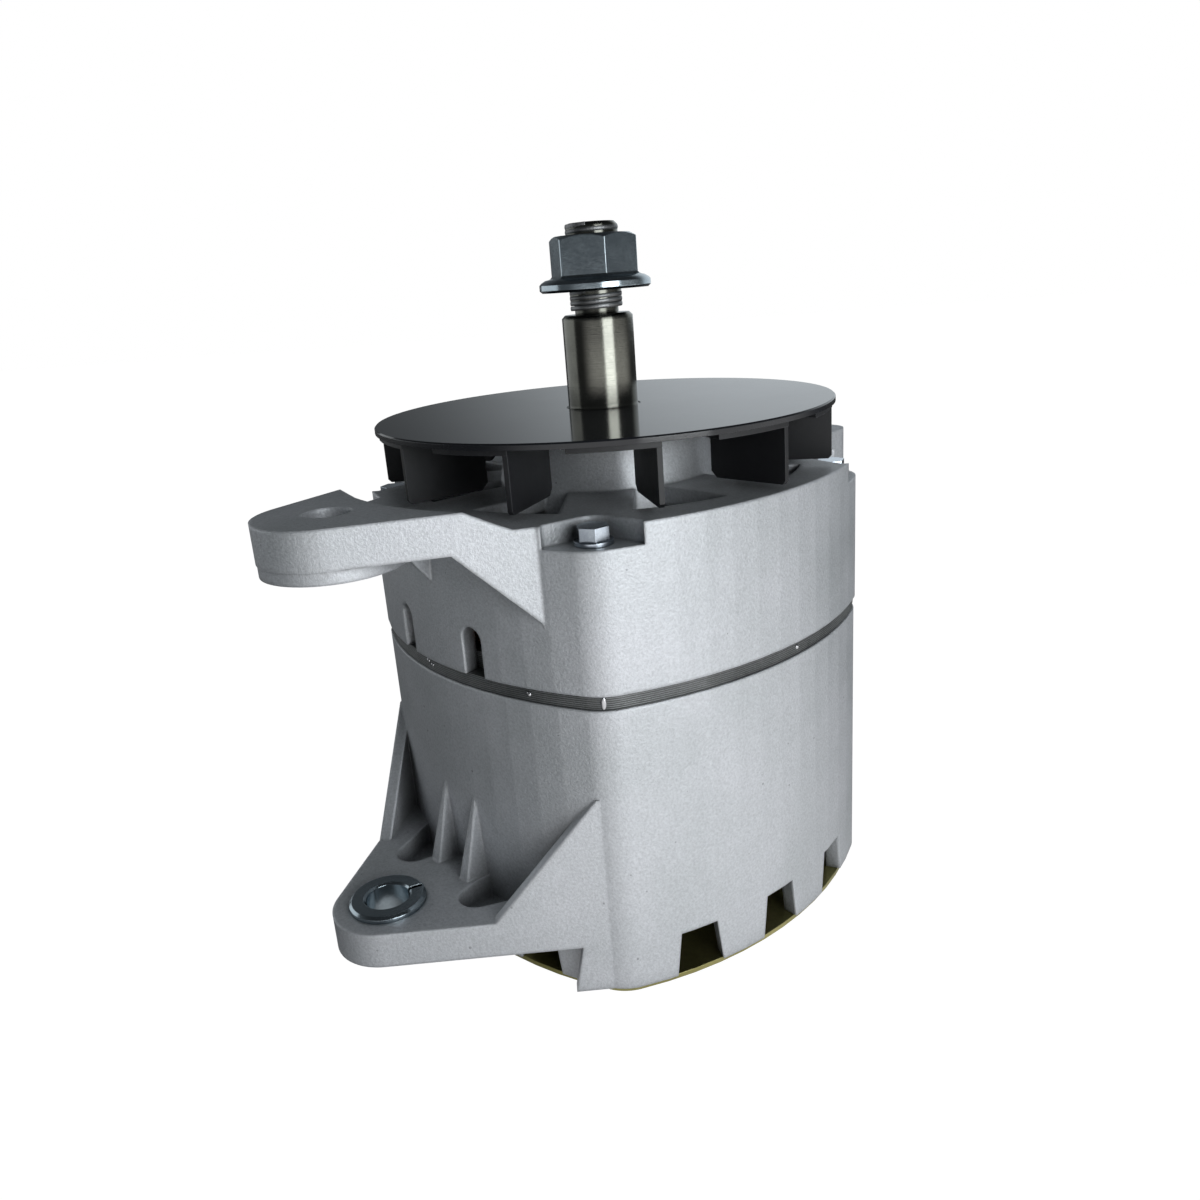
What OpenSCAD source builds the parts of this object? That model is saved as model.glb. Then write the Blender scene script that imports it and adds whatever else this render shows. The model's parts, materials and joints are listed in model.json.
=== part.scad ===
// Heavy-duty engine alternator, hinge mounted, bare shaft with flange nut.
// The shaft is the Z axis, the pulley seats on the fan disc at Z = 0.
// The drive end points up, and the front lobe of the body faces -Y.

/* [Body outline] */
// Distance from the shaft axis to the middle of a bulged side
side_reach = 70; // [66:0.5:74]
// Radius of the four bulged sides
side_radius = 120; // [100:5:150]
// Radius of the four rounded corners
corner_radius = 14; // [10:1:18]
// Thickness of the cast walls
cast_wall = 4.4; // [3.8:0.1:5]
// How far the drive-end frame stands proud of the stator outline
drive_overhang = 0.9; // [0.4:0.1:1.4]
// How far the rear frame stands proud of the stator outline
rear_overhang = 0.5; // [0.2:0.1:1]

/* [Heights] */
// Drop from the pulley seat to the rim of the drive-end frame
rim_drop = 21; // [20.6:0.2:23]
// Height of the drive-end frame from rim to stator
drive_frame_h = 46.3; // [44:0.5:52]
// Height of the stator band that shows between the frames
stator_band_h = 4.3; // [3.5:0.1:6]
// Depth of the space for the rear electrics, from the deck to the end of the skirt
skirt_h = 23.7; // [22.7:0.1:27]

/* [Shaft] */
// Diameter of the pulley seat
seat_d = 22.2; // [20:0.1:23]
// Length of the pulley seat
seat_l = 28.3; // [24:0.1:34]
// Diameter of the threaded end
thread_d = 16; // [14:1:18]
// Length of the threaded end
thread_l = 26.7; // [24:0.1:32]
// Diameter of the shaft inside the rotor
rotor_shaft_d = 28; // [26:0.5:32]
// Diameter of the rear bearing seat
rear_seat_d = 17; // [15:0.5:19]

/* [Shaft nut] */
// Hexagon size of the nut across its flats
nut_af = 24; // [22:0.5:27]
// Height of the nut with its flange
nut_h = 16.2; // [14:0.2:18]
// Diameter of the nut flange
nut_flange_d = 34.5; // [31:0.5:37]
// Thickness of the nut flange
nut_flange_h = 3.8; // [3:0.1:4.5]
// Gap between the pulley seat shoulder and the nut
nut_gap = 7; // [5:0.1:8]

/* [Fan] */
// Diameter of the fan disc
fan_d = 145; // [138:0.5:147]
// Thickness of the fan disc
fan_t = 1.8; // [1.4:0.1:2]
// Number of fan blades
blade_n = 11; // [9:1:13]
// Drop from the fan disc to the lower edge of the blades
blade_h = 17.5; // [14:0.5:17.8]
// Thickness of the blade plate
blade_t = 1.5; // [1.2:0.1:1.8]
// Distance from the shaft axis to the inner lower corner of a blade
blade_inner_r = 45; // [40:1:50]
// Angle covered by the flange of one blade
blade_flange_a = 20; // [14:1:24]
// Angle of the first blade from the front lobe
blade_start_a = 15.5; // [0:0.5:32]

/* [Hinge ears] */
// Distance from the shaft axis to the hinge bolt axis
hinge_r = 99.5; // [96:0.5:103]
// Clear gap between the upper ear and the bush of the lower ear
hinge_gap = 103.4; // [99:0.2:107]
// Diameter of the hinge bolt hole in the upper ear
hinge_hole_d = 13; // [12:0.1:14]
// Radius of the upper ear around its hole
upper_ear_r = 20; // [18:0.5:22]
// Depth of the upper ear boss
upper_boss_h = 14.6; // [13:0.2:18]
// Thickness of the ear plates
ear_t = 11; // [9:0.5:12]
// Height of the upper ear over the rim
ear_rise = 6; // [4:0.5:6.4]
// Radius of the lower ear around its bush
lower_ear_r = 16.5; // [15.5:0.5:19]

/* [Adjusting bush] */
// Outer diameter of the split bush
bush_d = 23; // [21:0.5:24]
// How far the bush stands over the lower ear
bush_proud = 2; // [1.5:0.1:3]
// Width of the slit
bush_slit = 1.4; // [1:0.1:2]

/* [Adjusting lug] */
// Distance from the shaft axis to the threaded hole of the lug
lug_r = 92; // [88:0.5:98]
// Radius of the lug boss
lug_boss_r = 9; // [8.5:0.5:12]
// Height of the lug boss
lug_h = 16; // [12:0.5:20]
// Core diameter of the threaded hole
lug_hole_d = 8.8; // [7:0.1:10]

/* [Through bolts] */
// Distance of the through bolts inside the lobe tips
bolt_in = 6.9; // [6.1:0.1:8.5]
// Diameter of the through bolts
bolt_d = 6; // [5:0.1:6.4]
// Hexagon size of the bolt heads across their flats
bolt_af = 8; // [7.5:0.5:10]
// Height of the bolt heads
bolt_head_h = 5; // [4.5:0.1:5.6]
// Depth of the notches that hold the bolt heads
notch_h = 6; // [5:0.5:8]

/* [Air openings] */
// Number of windows in each end wall
window_n = 8; // [6:1:10]
// Width of the ribs between the windows of the rear deck
window_rib = 8; // [6:0.5:11]
// Width of the ribs between the windows of the drive end
drive_rib = 20; // [14:0.5:22]
// Height of the air inlets round the rear skirt
inlet_h = 14.2; // [10:0.1:15]
// Width of an air inlet at half its height
inlet_w = 13.8; // [10:0.2:16]
// Width of the outlet slots in the drive-end frame
outlet_w = 8; // [6:0.5:10]
// Height of the outlet slots in the drive-end frame
outlet_h = 15; // [11:0.5:18]

/* [Bearings] */
// Outer diameter of the drive bearing
drive_bearing_d = 52; // [50:1:54]
// Bore of the drive bearing
drive_bore_d = 25; // [25:0.5:26]
// Width of the drive bearing
drive_bearing_w = 15; // [13:0.5:16]
// Outer diameter of the rear bearing
rear_bearing_d = 40; // [38:1:42]
// Width of the rear bearing
rear_bearing_w = 12; // [10:0.5:13]

/* [Stator and rotor] */
// Thickness of the frames outside the stator core
core_wall = 4; // [3.5:0.1:5]
// Height of the stator core
core_h = 42; // [38:1:46]
// Diameter of the rotor
rotor_d = 101.2; // [99:0.2:101.6]
// Gap between rotor and stator
air_gap = 0.5; // [0.4:0.05:0.8]
// Number of stator slots
slot_n = 36; // [24:6:36]
// Thickness of the claw pole plates
pole_t = 12; // [10:0.5:13]
// Number of claws on each pole
claw_n = 6; // [5:1:7]

/* [Rear parts] */
// Thickness of the rear cover
cover_t = 1.5; // [1:0.1:2.5]
// Thickness of the rectifier plates
heat_plate_t = 3; // [2:0.2:4]
// Diameter of the output stud
stud_d = 8; // [6:0.5:8.5]
// How far the output stud stands out of the rear frame
stud_l = 22; // [18:1:28]

/* [Hidden] */

// Clearances
press_gap = 0.02;
slide_gap = 0.03;
seat_gap = 0.1;
loose_gap = 0.3;
run_gap = 0.35;
eps = 0.1;

// Fineness of round surfaces
round_fn = 96;
small_fn = 32;

// Heights of the body, downwards from the pulley seat
rim_z = -rim_drop;
band_top_z = rim_z - drive_frame_h;
band_low_z = band_top_z - stator_band_h;
notch_z = rim_z - notch_h;
drive_plate_t = 5.5;
drive_inner_z = rim_z - drive_plate_t;

// Outline of the body: four bulged sides joined by tangent corners
side_offset = side_radius - side_reach;
corner_reach = corner_centre(side_offset, side_radius - corner_radius);
function corner_centre(e, r) = -e * cos(45) + sqrt(pow(e * cos(45), 2) - e * e + r * r);
corner_half_a = 45 - atan2(corner_reach * sin(45), side_offset + corner_reach * cos(45));
side_steps = 12;
corner_steps = 12;

function polar(r, a) = [r * cos(a), r * sin(a)];
function corner_arc(k, grow) = [
    for (i = [0:corner_steps])
        polar(corner_reach, 90 * k - 90)
            + polar(corner_radius + grow, 90 * k - 90 - corner_half_a
                + 2 * corner_half_a * i / corner_steps)
];
function side_arc(k, grow) = [
    for (i = [1:side_steps - 1])
        polar(-side_offset, 90 * k - 45)
            + polar(side_radius + grow, 90 * k - 90 + corner_half_a
                + (90 - 2 * corner_half_a) * i / side_steps)
];
function outline_points(grow) = [
    for (k = [0:3])
        each concat(corner_arc(k, grow), side_arc(k, grow))
];

// Directions, as angles from +X, of the ears, lug and terminals
hinge_a = -135;
lug_a = 35;
lobe_a = [-90, 0, 90, 180];
inlet_first_a = 18;
inlet_pitch_a = 25.5;
outlet_a = [-122, -151, 29, 58];
relay_a = inlet_first_a + inlet_pitch_a / 2;
stud_a = inlet_first_a + inlet_pitch_a * 1.5;
ground_a = 90 + inlet_first_a + inlet_pitch_a / 2;

// Radius of a bearing ball as a share of the step between bore and outside
ball_share = 0.14;

// Drive-end hub and bearing
fan_stack = fan_t + blade_t;
hub_r = drive_bearing_d / 2 + 6;
hub_foot_r = hub_r + 5;
hub_top_z = -5;
drive_bearing_top_z = -16;
drive_bearing_low_z = drive_bearing_top_z - drive_bearing_w;
drive_pitch_r = (drive_bore_d + drive_bearing_d) / 4;
drive_ball_r = (drive_bearing_d - drive_bore_d) * ball_share;
fan_seat_r = seat_d / 2 + 0.8;
drive_ball_z = (drive_bearing_top_z + drive_bearing_low_z) / 2;
drive_ball_n = 9;
collar_r = 16.5;
retainer_t = 3;
retainer_screw_r = drive_bearing_d / 2 + 5.5;
retainer_screw_n = 4;
retainer_screw_d = 5;
retainer_screw_l = 7;
screw_head_h = 3;

// Through bolts in their bosses
bolt_r = corner_reach + corner_radius - bolt_in;
bolt_clear_r = bolt_d / 2 + 0.2;
bolt_boss_r = bolt_clear_r + 5;
bolt_l = 100;
bolt_end_z = notch_z - bolt_l;
bolt_grip = 30;
bolt_flange_t = 1.2;
bolt_flange_r = bolt_af / 2 + 1.3;

// Rotor stack
core_lap_h = 5.3;
core_d = 2 * (side_reach - core_wall);
core_top_z = band_top_z + core_lap_h;
core_low_z = core_top_z - core_h;
core_bore_r = rotor_d / 2 + air_gap;
pole_top_z = core_top_z + pole_t;
pole_low_z = core_low_z - pole_t;
pole_core_r = 24;
coil_r = 39;
claw_root_w = 31;
claw_tip_w = 13;
claw_root_t = 11;
claw_tip_t = 5;
claw_end_gap = 1;
bobbin_wall = 1.2;
bobbin_r = pole_core_r + seat_gap;

// Windings
crown_inner_r = core_bore_r + 2.5;
crown_outer_r = bolt_r - bolt_boss_r - loose_gap;
crown_h = 19;
crown_low_z = core_low_z - crown_h;
slot_w = 4.2;
slot_end_r = crown_outer_r - 3.5;

// Rear deck, slip rings and rear bearing
deck_z = pole_low_z - 16.3;
deck_t = 5;
deck_low_z = deck_z - deck_t;
skirt_z = deck_low_z - skirt_h;
rear_bearing_top_z = deck_low_z - 2;
rear_bearing_low_z = rear_bearing_top_z - rear_bearing_w;
rear_pitch_r = (rear_seat_d + rear_bearing_d) / 4;
rear_ball_r = (rear_bearing_d - rear_seat_d) * ball_share;
rear_ball_z = (rear_bearing_top_z + rear_bearing_low_z) / 2;
rear_ball_n = 8;
rear_hub_r = rear_bearing_d / 2 + 5;
rear_hub_low_z = rear_bearing_low_z - 4;
ring_w = 5;
ring_gap = 1.5;
ring_r = 16;
ring_hub_r = 14;
ring_hub_top_z = pole_low_z - 1.5;
ring_a_z = ring_hub_top_z - 1 - ring_w / 2;
ring_b_z = ring_a_z - ring_w - ring_gap;
ring_hub_low_z = ring_b_z - ring_w / 2 - 1;
ring_shaft_r = 10.5;

// Brushes
brush_dir = -45;
brush_w = 5;
brush_h = 4.4;
brush_l = 13;
brush_start = ring_r + loose_gap;
brush_end = brush_start + brush_l;
holder_start = ring_r + 4;
holder_wall = 2;
holder_back = brush_end + 13;
holder_tab_l = 12;
holder_tab_t = 3;
holder_screw_x = holder_back + 6.5;
deck_screw_r = 2;
screw_head_r = 3.6;
screw_grip = 3.5;
spring_r = 1.9;
spring_wire_r = 0.4;
spring_turns = 7;

// Ears
upper_ear_top_z = rim_z + ear_rise;
upper_boss_low_z = upper_ear_top_z - upper_boss_h;
lower_ear_top_z = upper_boss_low_z - hinge_gap - bush_proud;
lower_ear_low_z = lower_ear_top_z - ear_t;
hinge_x = hinge_r * cos(hinge_a);
hinge_y = hinge_r * sin(hinge_a);
gusset_t = 5;
fin_t = 4;

// The upper ear ends on the front lobe and on the side beyond the hinge
ear_end_r = 4;
ear_front_end = polar(corner_reach, -90) + polar(corner_radius + 1.2, -157);
ear_rear_a = -157.5;
ear_rear_end = polar(side_r(ear_rear_a, 0), ear_rear_a);

// The front face of the upper ear, tangent to the boss and to its end on the front lobe
ear_run = ear_front_end - [hinge_x, hinge_y];
ear_face_a = atan2(ear_run[1], ear_run[0]) - acos((upper_ear_r - ear_end_r) / norm(ear_run));
ear_face_reach = hinge_x * cos(ear_face_a) + hinge_y * sin(ear_face_a) + upper_ear_r;
ear_face_boss_y = hinge_y * cos(ear_face_a) - hinge_x * sin(ear_face_a);
ear_face_end_y = ear_front_end[1] * cos(ear_face_a) - ear_front_end[0] * sin(ear_face_a);
ear_plate_low_z = upper_ear_top_z - ear_t;

// Direction and distance of the lower ear's flank, which is tangent to boss and corner
flank_dx = corner_reach * cos(45) - hinge_r;
flank_dy = corner_reach * sin(45);
flank_inset = 0.8;
flank_end_r = corner_radius + rear_overhang - flank_inset;
flank_a = atan2(flank_dy, flank_dx)
    - acos((lower_ear_r - flank_end_r) / norm([flank_dx, flank_dy]));
flank_reach = hinge_r * cos(flank_a) + lower_ear_r;
flank_boss_y = -hinge_r * sin(flank_a);
flank_end_y = corner_reach * (cos(45) * cos(flank_a) - sin(45) * sin(flank_a));
gusset_top_z = band_low_z - 27;
gusset_drop = 21.5;
drive_window_r = side_reach - cast_wall - 4;
notch_wing = 12.4;
rib_y = 8;
slit_a = 165;
rib_t = 3.6;
pocket_depth = 7.5;

// Rear cover and what closes the body
cover_z = skirt_z - cover_t;
cover_inset = 0.4;
cover_screw_d = 4;
cover_screw_l = 12;
cover_head_r = 3.3;
cover_head_h = 3.2;
nut_turn_a = 20;
shaft_hex_af = 8;

// Rear electrics
plate_step = 5;
neg_plate_z = deck_low_z - seat_gap;
pos_plate_z = neg_plate_z - heat_plate_t - plate_step;
plate_inner_r = rear_hub_r + 3;
lead_r = 1.1;
lead_at_r = crown_outer_r - 3.5;
plate_air = 2.6;
plate_outer_r = lead_at_r - lead_r - plate_air;
plate_from_a = 5;
plate_to_a = 175;
spacer_a = [45, 90, 135];
spacer_at_r = plate_outer_r - 6;
spacer_r = 4;
diode_r = 6.3;
diode_ring_r = (plate_inner_r + plate_outer_r) / 2 + 1;
diode_a = [34, 67.5, 112.5];
stud_z = pos_plate_z - heat_plate_t / 2;
lug_l = 8;
insulator_r = 6.2;
insulator_rim = 3;
insulator_h = 3.5;
relay_r = 4.2;
relay_rim = 2;
relay_stud_r = 2.5;
ground_screw_d = 6;
ground_flange_r = 6.2;
pad_h = 0.8;
stud_base_r = stud_d / 2 + 0.4;
stud_washer_t = 1.4;
stud_nut_h = 6.1;
stud_step = 0.3;
nut_start_r = pad_r(stud_a) + insulator_h + press_gap;
regulator_a = 225;
regulator_h = 12;
regulator_top_z = deck_low_z - seat_gap;

// Distance from the shaft axis to a side of the body at an angle
function side_r(a, grow) = let (d = a - 45 - 90 * floor(a / 90))
    -side_offset * cos(d) + sqrt(pow(side_radius + grow, 2) - pow(side_offset * sin(d), 2));

module outline(grow) {
    polygon(outline_points(grow));
}

// A solid of the body outline between two heights
module body_block(grow, low_z, top_z) {
    translate([0, 0, low_z])
        linear_extrude(top_z - low_z)
            outline(grow);
}

// A cylinder between two heights
module rod(r, low_z, top_z, fn = round_fn) {
    translate([0, 0, low_z])
        cylinder(h = top_z - low_z, r = r, $fn = fn);
}

// A tube between two heights
module tube(outer_r, inner_r, low_z, top_z, fn = round_fn) {
    difference() {
        rod(outer_r, low_z, top_z, fn);
        rod(inner_r, low_z - eps, top_z + eps, fn);
    }
}

// Places its children at each through bolt
module at_bolts() {
    for (a = lobe_a)
        rotate([0, 0, a])
            translate([bolt_r, 0, 0])
                children();
}

// Places its children on the hinge axis
module at_hinge() {
    rotate([0, 0, hinge_a])
        translate([hinge_r, 0, 0])
            children();
}

// A flat sector of a ring between two radii, in plan
module sector(inner_r, outer_r, from_a, to_a, steps = 12) {
    polygon([
        for (i = [0:steps]) polar(outer_r, from_a + (to_a - from_a) * i / steps),
        for (i = [0:steps]) polar(inner_r, to_a + (from_a - to_a) * i / steps)
    ]);
}

module hex_prism(af, h) {
    cylinder(h = h, r = af / 2 / cos(30), $fn = 6);
}

// The cavity inside a frame, which leaves a boss round each through bolt
module frame_cavity(low_z, top_z) {
    difference() {
        body_block(-cast_wall, low_z, top_z);
        at_bolts()
            rod(bolt_boss_r, low_z - eps, top_z + eps, small_fn);
    }
}

// One air window between ribs of even width
module window(inner_r, outer_r, rib_w, low_z, top_z) {
    half_a = 180 / window_n;
    inner_half = half_a - asin(rib_w / 2 / inner_r);
    outer_half = half_a - asin(rib_w / 2 / outer_r);
    translate([0, 0, low_z])
        linear_extrude(top_z - low_z)
            polygon([
                for (i = [0:6]) polar(outer_r, outer_half * (i / 3 - 1)),
                for (i = [0:6]) polar(inner_r, inner_half * (1 - i / 3))
            ]);
}

module windows(inner_r, outer_r, rib_w, low_z, top_z) {
    for (k = [0:window_n - 1])
        rotate([0, 0, (k + 0.5) * 360 / window_n])
            window(inner_r, outer_r, rib_w, low_z, top_z);
}

// The recess that holds one through bolt head, open to the outside
module bolt_notch() {
    translate([0, 0, notch_z])
        linear_extrude(notch_h + ear_rise + 1)
            hull() {
                circle(r = bolt_flange_r + 1.4, $fn = small_fn);
                for (s = [-1, 1], x = [2, corner_radius])
                    translate([x, s * notch_wing])
                        circle(r = 1, $fn = small_fn);
            }
}

// The metal that stays under the notches
module notch_floors() {
    inner_x = drive_window_r - bolt_r;
    floor_t = 3;
    at_bolts()
        translate([inner_x, -notch_wing - floor_t, notch_z - floor_t])
            cube([corner_radius - inner_x, 2 * (notch_wing + floor_t),
                drive_inner_z - notch_z + floor_t + eps]);
}

module ear_outline_upper() {
    hull() {
        translate([hinge_x, hinge_y])
            circle(r = upper_ear_r, $fn = 64);
        for (p = [ear_front_end, ear_rear_end])
            translate(p)
                circle(r = ear_end_r, $fn = small_fn);
    }
}

module ear_outline_lower() {
    hull() {
        translate([hinge_x, hinge_y])
            circle(r = lower_ear_r, $fn = 64);
        for (a = [-90, 180])
            translate(polar(corner_reach, a))
                circle(r = flank_end_r, $fn = 64);
    }
}

module drive_end_frame() {
    color("#c9ccd1")
        difference() {
            union() {
                body_block(drive_overhang, band_top_z, rim_z);
                drive_hub();
                upper_ear();
                adjusting_lug();
            }
            difference() {
                frame_cavity(band_top_z - eps, drive_inner_z);
                drive_hub();
                notch_floors();
            }
            rod(core_d / 2 + seat_gap, band_top_z - eps, core_top_z + seat_gap);
            drive_windows();
            // Bearing pocket and the hole for the collar
            rod(drive_bearing_d / 2 + press_gap, drive_bearing_low_z - eps, drive_bearing_top_z);
            rod(collar_r + run_gap, drive_bearing_top_z - eps, hub_top_z + eps);
            at_bolts()
                bolt_notch();
            at_bolts()
                rod(bolt_clear_r, band_top_z - eps, notch_z + eps, small_fn);
            outlet_slots();
            at_retainer_screws()
                rod(retainer_screw_d / 2 + press_gap, drive_bearing_low_z - eps,
                    drive_bearing_low_z + retainer_screw_l + 1, small_fn);
        }
}

// The bearing hub, a cone with a rounded edge that runs through the end wall
module drive_hub() {
    edge = 1.5;
    rotate_extrude($fn = round_fn)
        polygon([
            [0, drive_bearing_low_z],
            [hub_foot_r, drive_bearing_low_z],
            [hub_r, hub_top_z - edge],
            [hub_r - edge, hub_top_z],
            [0, hub_top_z]
        ]);
}

module drive_windows() {
    difference() {
        windows(hub_r, drive_window_r, drive_rib, drive_inner_z - eps, rim_z + eps);
        drive_hub();
    }
}

// Slots that let the air out beside the hinge ear and opposite it
module outlet_slots() {
    for (a = outlet_a)
        rotate([90, 0, a + 90])
            translate([0, 0, side_reach - cast_wall - 4])
                linear_extrude(cast_wall + 12)
                    union() {
                        translate([0, band_top_z + outlet_h - outlet_w / 2])
                            circle(d = outlet_w, $fn = small_fn);
                        translate([-outlet_w / 2, band_top_z - 1])
                            square([outlet_w, outlet_h + 1 - outlet_w / 2]);
                    }
}

module upper_ear() {
    difference() {
        union() {
            translate([0, 0, ear_plate_low_z])
                linear_extrude(ear_t)
                    ear_outline_upper();
            at_hinge()
                rod(upper_ear_r - loose_gap, upper_boss_low_z, ear_plate_low_z + 1, 64);
            upper_gusset();
            upper_ear_rib();
        }
        ear_slope();
        rod(side_reach - cast_wall, band_top_z, rim_z + eps);
        at_hinge()
            rod(hinge_hole_d / 2, upper_boss_low_z - 1, upper_ear_top_z + 1, 64);
    }
}

// The cone that lets the fan turn inside the ear, whose top falls to the rim along it
module ear_slope() {
    slope_low_r = fan_d / 2 + 6.5;
    slope_top_r = fan_d / 2 + 13.5;
    rotate_extrude($fn = round_fn)
        polygon([
            [0, rim_z],
            [slope_low_r, rim_z],
            [slope_top_r, upper_ear_top_z],
            [slope_top_r, upper_ear_top_z + 1],
            [0, upper_ear_top_z + 1]
        ]);
}

// A flat fin whose outer face lies at a distance from the shaft axis, with its
// outline given along the face and upwards
module face_fin(face_a, reach, t, points) {
    rotate([0, 0, face_a])
        translate([reach - t, 0, 0])
            rotate([90, 0, 90])
                linear_extrude(t)
                    polygon(points);
}

// The front face of the upper ear runs down the front lobe as a slanted fin, which
// ends in a thin edge
module upper_gusset() {
    edge_drop = 17;
    face_fin(ear_face_a, ear_face_reach, gusset_t, [
        [ear_face_boss_y + 12, ear_plate_low_z + 2],
        [ear_face_boss_y + 12, ear_plate_low_z],
        [ear_face_end_y - 24, ear_plate_low_z],
        [ear_face_end_y - 2, ear_plate_low_z - gusset_drop],
        [ear_face_end_y + 1, ear_plate_low_z - gusset_drop - edge_drop],
        [ear_face_end_y + 5, ear_plate_low_z - gusset_drop - edge_drop],
        [ear_face_end_y + 5, ear_plate_low_z + 2]
    ]);
}

// A pointed rib between a wall and a plate: it leans out from the wall and narrows
// towards its tip, h away from the plate at height z
module pointed_rib(wall_r, y, w, reach, z, h) {
    intersection() {
        translate([wall_r, y + w, 0])
            rotate([90, 0, 0])
                linear_extrude(2 * w)
                    polygon([[0, z], [reach, z], [0, z + h]]);
        rotate([90, 0, 90])
            linear_extrude(wall_r + reach + 1)
                polygon([[y - w / 2, z], [y + w / 2, z], [y, z + h]]);
    }
}

module upper_ear_rib() {
    rotate([0, 0, hinge_a])
        pointed_rib(side_reach - 2, 0, 1.25 * rib_t, 16, ear_plate_low_z + 1, -20);
}

module adjusting_lug() {
    lug_low_z = rim_z - lug_h + 1;
    difference() {
        translate([0, 0, lug_low_z])
            linear_extrude(lug_h)
                hull() {
                    translate(polar(lug_r, lug_a))
                        circle(r = lug_boss_r, $fn = 48);
                    for (s = [-1, 1])
                        translate(polar(side_reach - 4, lug_a + s * 14))
                            circle(r = 3, $fn = small_fn);
                }
        rod(side_reach - cast_wall, lug_low_z - 1, rim_z + 2);
        rotate([0, 0, lug_a])
            translate([lug_r, 0, 0])
                rod(lug_hole_d / 2, lug_low_z - 1, rim_z + 2, 48);
    }
}

module rear_frame() {
    color("#c4c8cc")
        difference() {
            union() {
                body_block(rear_overhang, skirt_z, band_low_z);
                lower_ear();
                terminal_pad(stud_a, insulator_r + insulator_rim);
                terminal_pad(relay_a, relay_r + relay_rim);
                terminal_pad(ground_a, ground_flange_r);
            }
            difference() {
                union() {
                    frame_cavity(deck_z, band_low_z + eps);
                    frame_cavity(skirt_z - eps, deck_low_z);
                }
                rod(rear_hub_r, rear_hub_low_z, deck_z);
            }
            rod(core_d / 2 + seat_gap, core_low_z - seat_gap, band_low_z + eps);
            windows(rear_hub_r + 3, side_reach - cast_wall - 3, window_rib,
                deck_low_z - eps, deck_z + eps);
            // Bearing pocket, open upwards, and the hole for the shaft
            rod(rear_bearing_d / 2 + press_gap, rear_bearing_low_z, deck_z + eps);
            rod(rear_seat_d / 2 + 1, rear_bearing_low_z - 2.5, rear_bearing_low_z + eps);
            air_inlets();
            deck_screw_holes();
            bolt_holes();
            radial_hole(stud_a, insulator_r + seat_gap);
            radial_hole(relay_a, relay_r + seat_gap);
            radial_hole(ground_a, ground_screw_d / 2 + press_gap);
        }
}

// A flat round pad on the wall for a terminal
module terminal_pad(a, r) {
    radial_rod(a, r + 0.6, side_reach - cast_wall + 1, side_r(a, rear_overhang) + pad_h, stud_z);
}

// Holes in the deck for the screws of the rectifier, regulator and brush holder
module deck_screw_holes() {
    at_spacers()
        rod(deck_screw_r + press_gap, deck_low_z - eps, deck_z + eps, small_fn);
    at_regulator_screws()
        rod(deck_screw_r + press_gap, deck_low_z - eps, deck_z + eps, small_fn);
    at_holder_screw()
        rod(deck_screw_r + press_gap, deck_low_z - eps, deck_z + eps, small_fn);
}

// A hole through the rear frame's wall towards the shaft axis
module radial_hole(a, r) {
    rotate([0, 0, a])
        translate([side_reach - cast_wall - 8, 0, stud_z])
            rotate([0, 90, 0])
                cylinder(h = cast_wall + 20, r = r, $fn = small_fn);
}

// The bolts screw into the lower part of the bosses, the cover screws into their ends
module bolt_holes() {
    at_bolts() {
        rod(bolt_clear_r, bolt_end_z + bolt_grip, band_low_z + eps, small_fn);
        rod(bolt_d / 2 + press_gap, bolt_end_z - 1, bolt_end_z + bolt_grip + eps, small_fn);
        rod(cover_screw_d / 2 + press_gap, skirt_z - eps, skirt_z + cover_screw_l, small_fn);
    }
}

// Air inlets round the skirt, wider at the open end
module air_inlets() {
    draft = 0.9;
    for (lobe = lobe_a, k = [0:2])
        rotate([90, 0, lobe + inlet_first_a + k * inlet_pitch_a + 90])
            translate([0, 0, side_reach - cast_wall - 9])
                linear_extrude(cast_wall + 23)
                    polygon([
                        [-inlet_w / 2 - draft, skirt_z - eps],
                        [inlet_w / 2 + draft, skirt_z - eps],
                        [inlet_w / 2 - draft, skirt_z + inlet_h],
                        [draft - inlet_w / 2, skirt_z + inlet_h]
                    ]);
}

// The lower ear with its flank fins, wall ribs and pockets
module lower_ear() {
    difference() {
        union() {
            translate([0, 0, lower_ear_low_z])
                linear_extrude(ear_t)
                    ear_outline_lower();
            rotate([0, 0, hinge_a])
                for (s = [0, 1])
                    mirror([0, s, 0]) {
                        flank_fin();
                        pointed_rib(side_reach - 3, rib_y, 1.2 * rib_t, 11,
                            lower_ear_top_z - 1, 38);
                    }
        }
        rod(side_reach - cast_wall + 1, skirt_z - eps, band_low_z);
        rotate([0, 0, hinge_a])
            for (s = [0, 1])
                mirror([0, s, 0])
                    ear_pocket();
        at_hinge()
            rod(bush_d / 2 + slide_gap, lower_ear_low_z - 1, lower_ear_top_z + 1, 64);
    }
}

// The fin that carries a flank of the ear up to its lobe
module flank_fin() {
    start_y = flank_boss_y + 33;
    low_y = flank_end_y - 13;
    face_fin(flank_a, flank_reach, fin_t, [
        [start_y, lower_ear_top_z - 1],
        [start_y, lower_ear_top_z],
        [flank_end_y - 6, gusset_top_z],
        [flank_end_y + 4, gusset_top_z],
        [flank_end_y + 4, skirt_z],
        [low_y - 3, skirt_z],
        [low_y, lower_ear_low_z],
        [low_y, lower_ear_top_z - 1]
    ]);
}

// A rounded recess in the ear between a wall rib and a flank fin
module ear_pocket() {
    pocket_r = 6;
    translate([0, 0, lower_ear_top_z - pocket_depth])
        linear_extrude(pocket_depth + eps)
            hull()
                for (p = [[4, 17], [9, 18], [-4, 24], [-10, 17]])
                    translate([side_reach + p[0], p[1]])
                        circle(r = pocket_r, $fn = small_fn);
}

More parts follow.
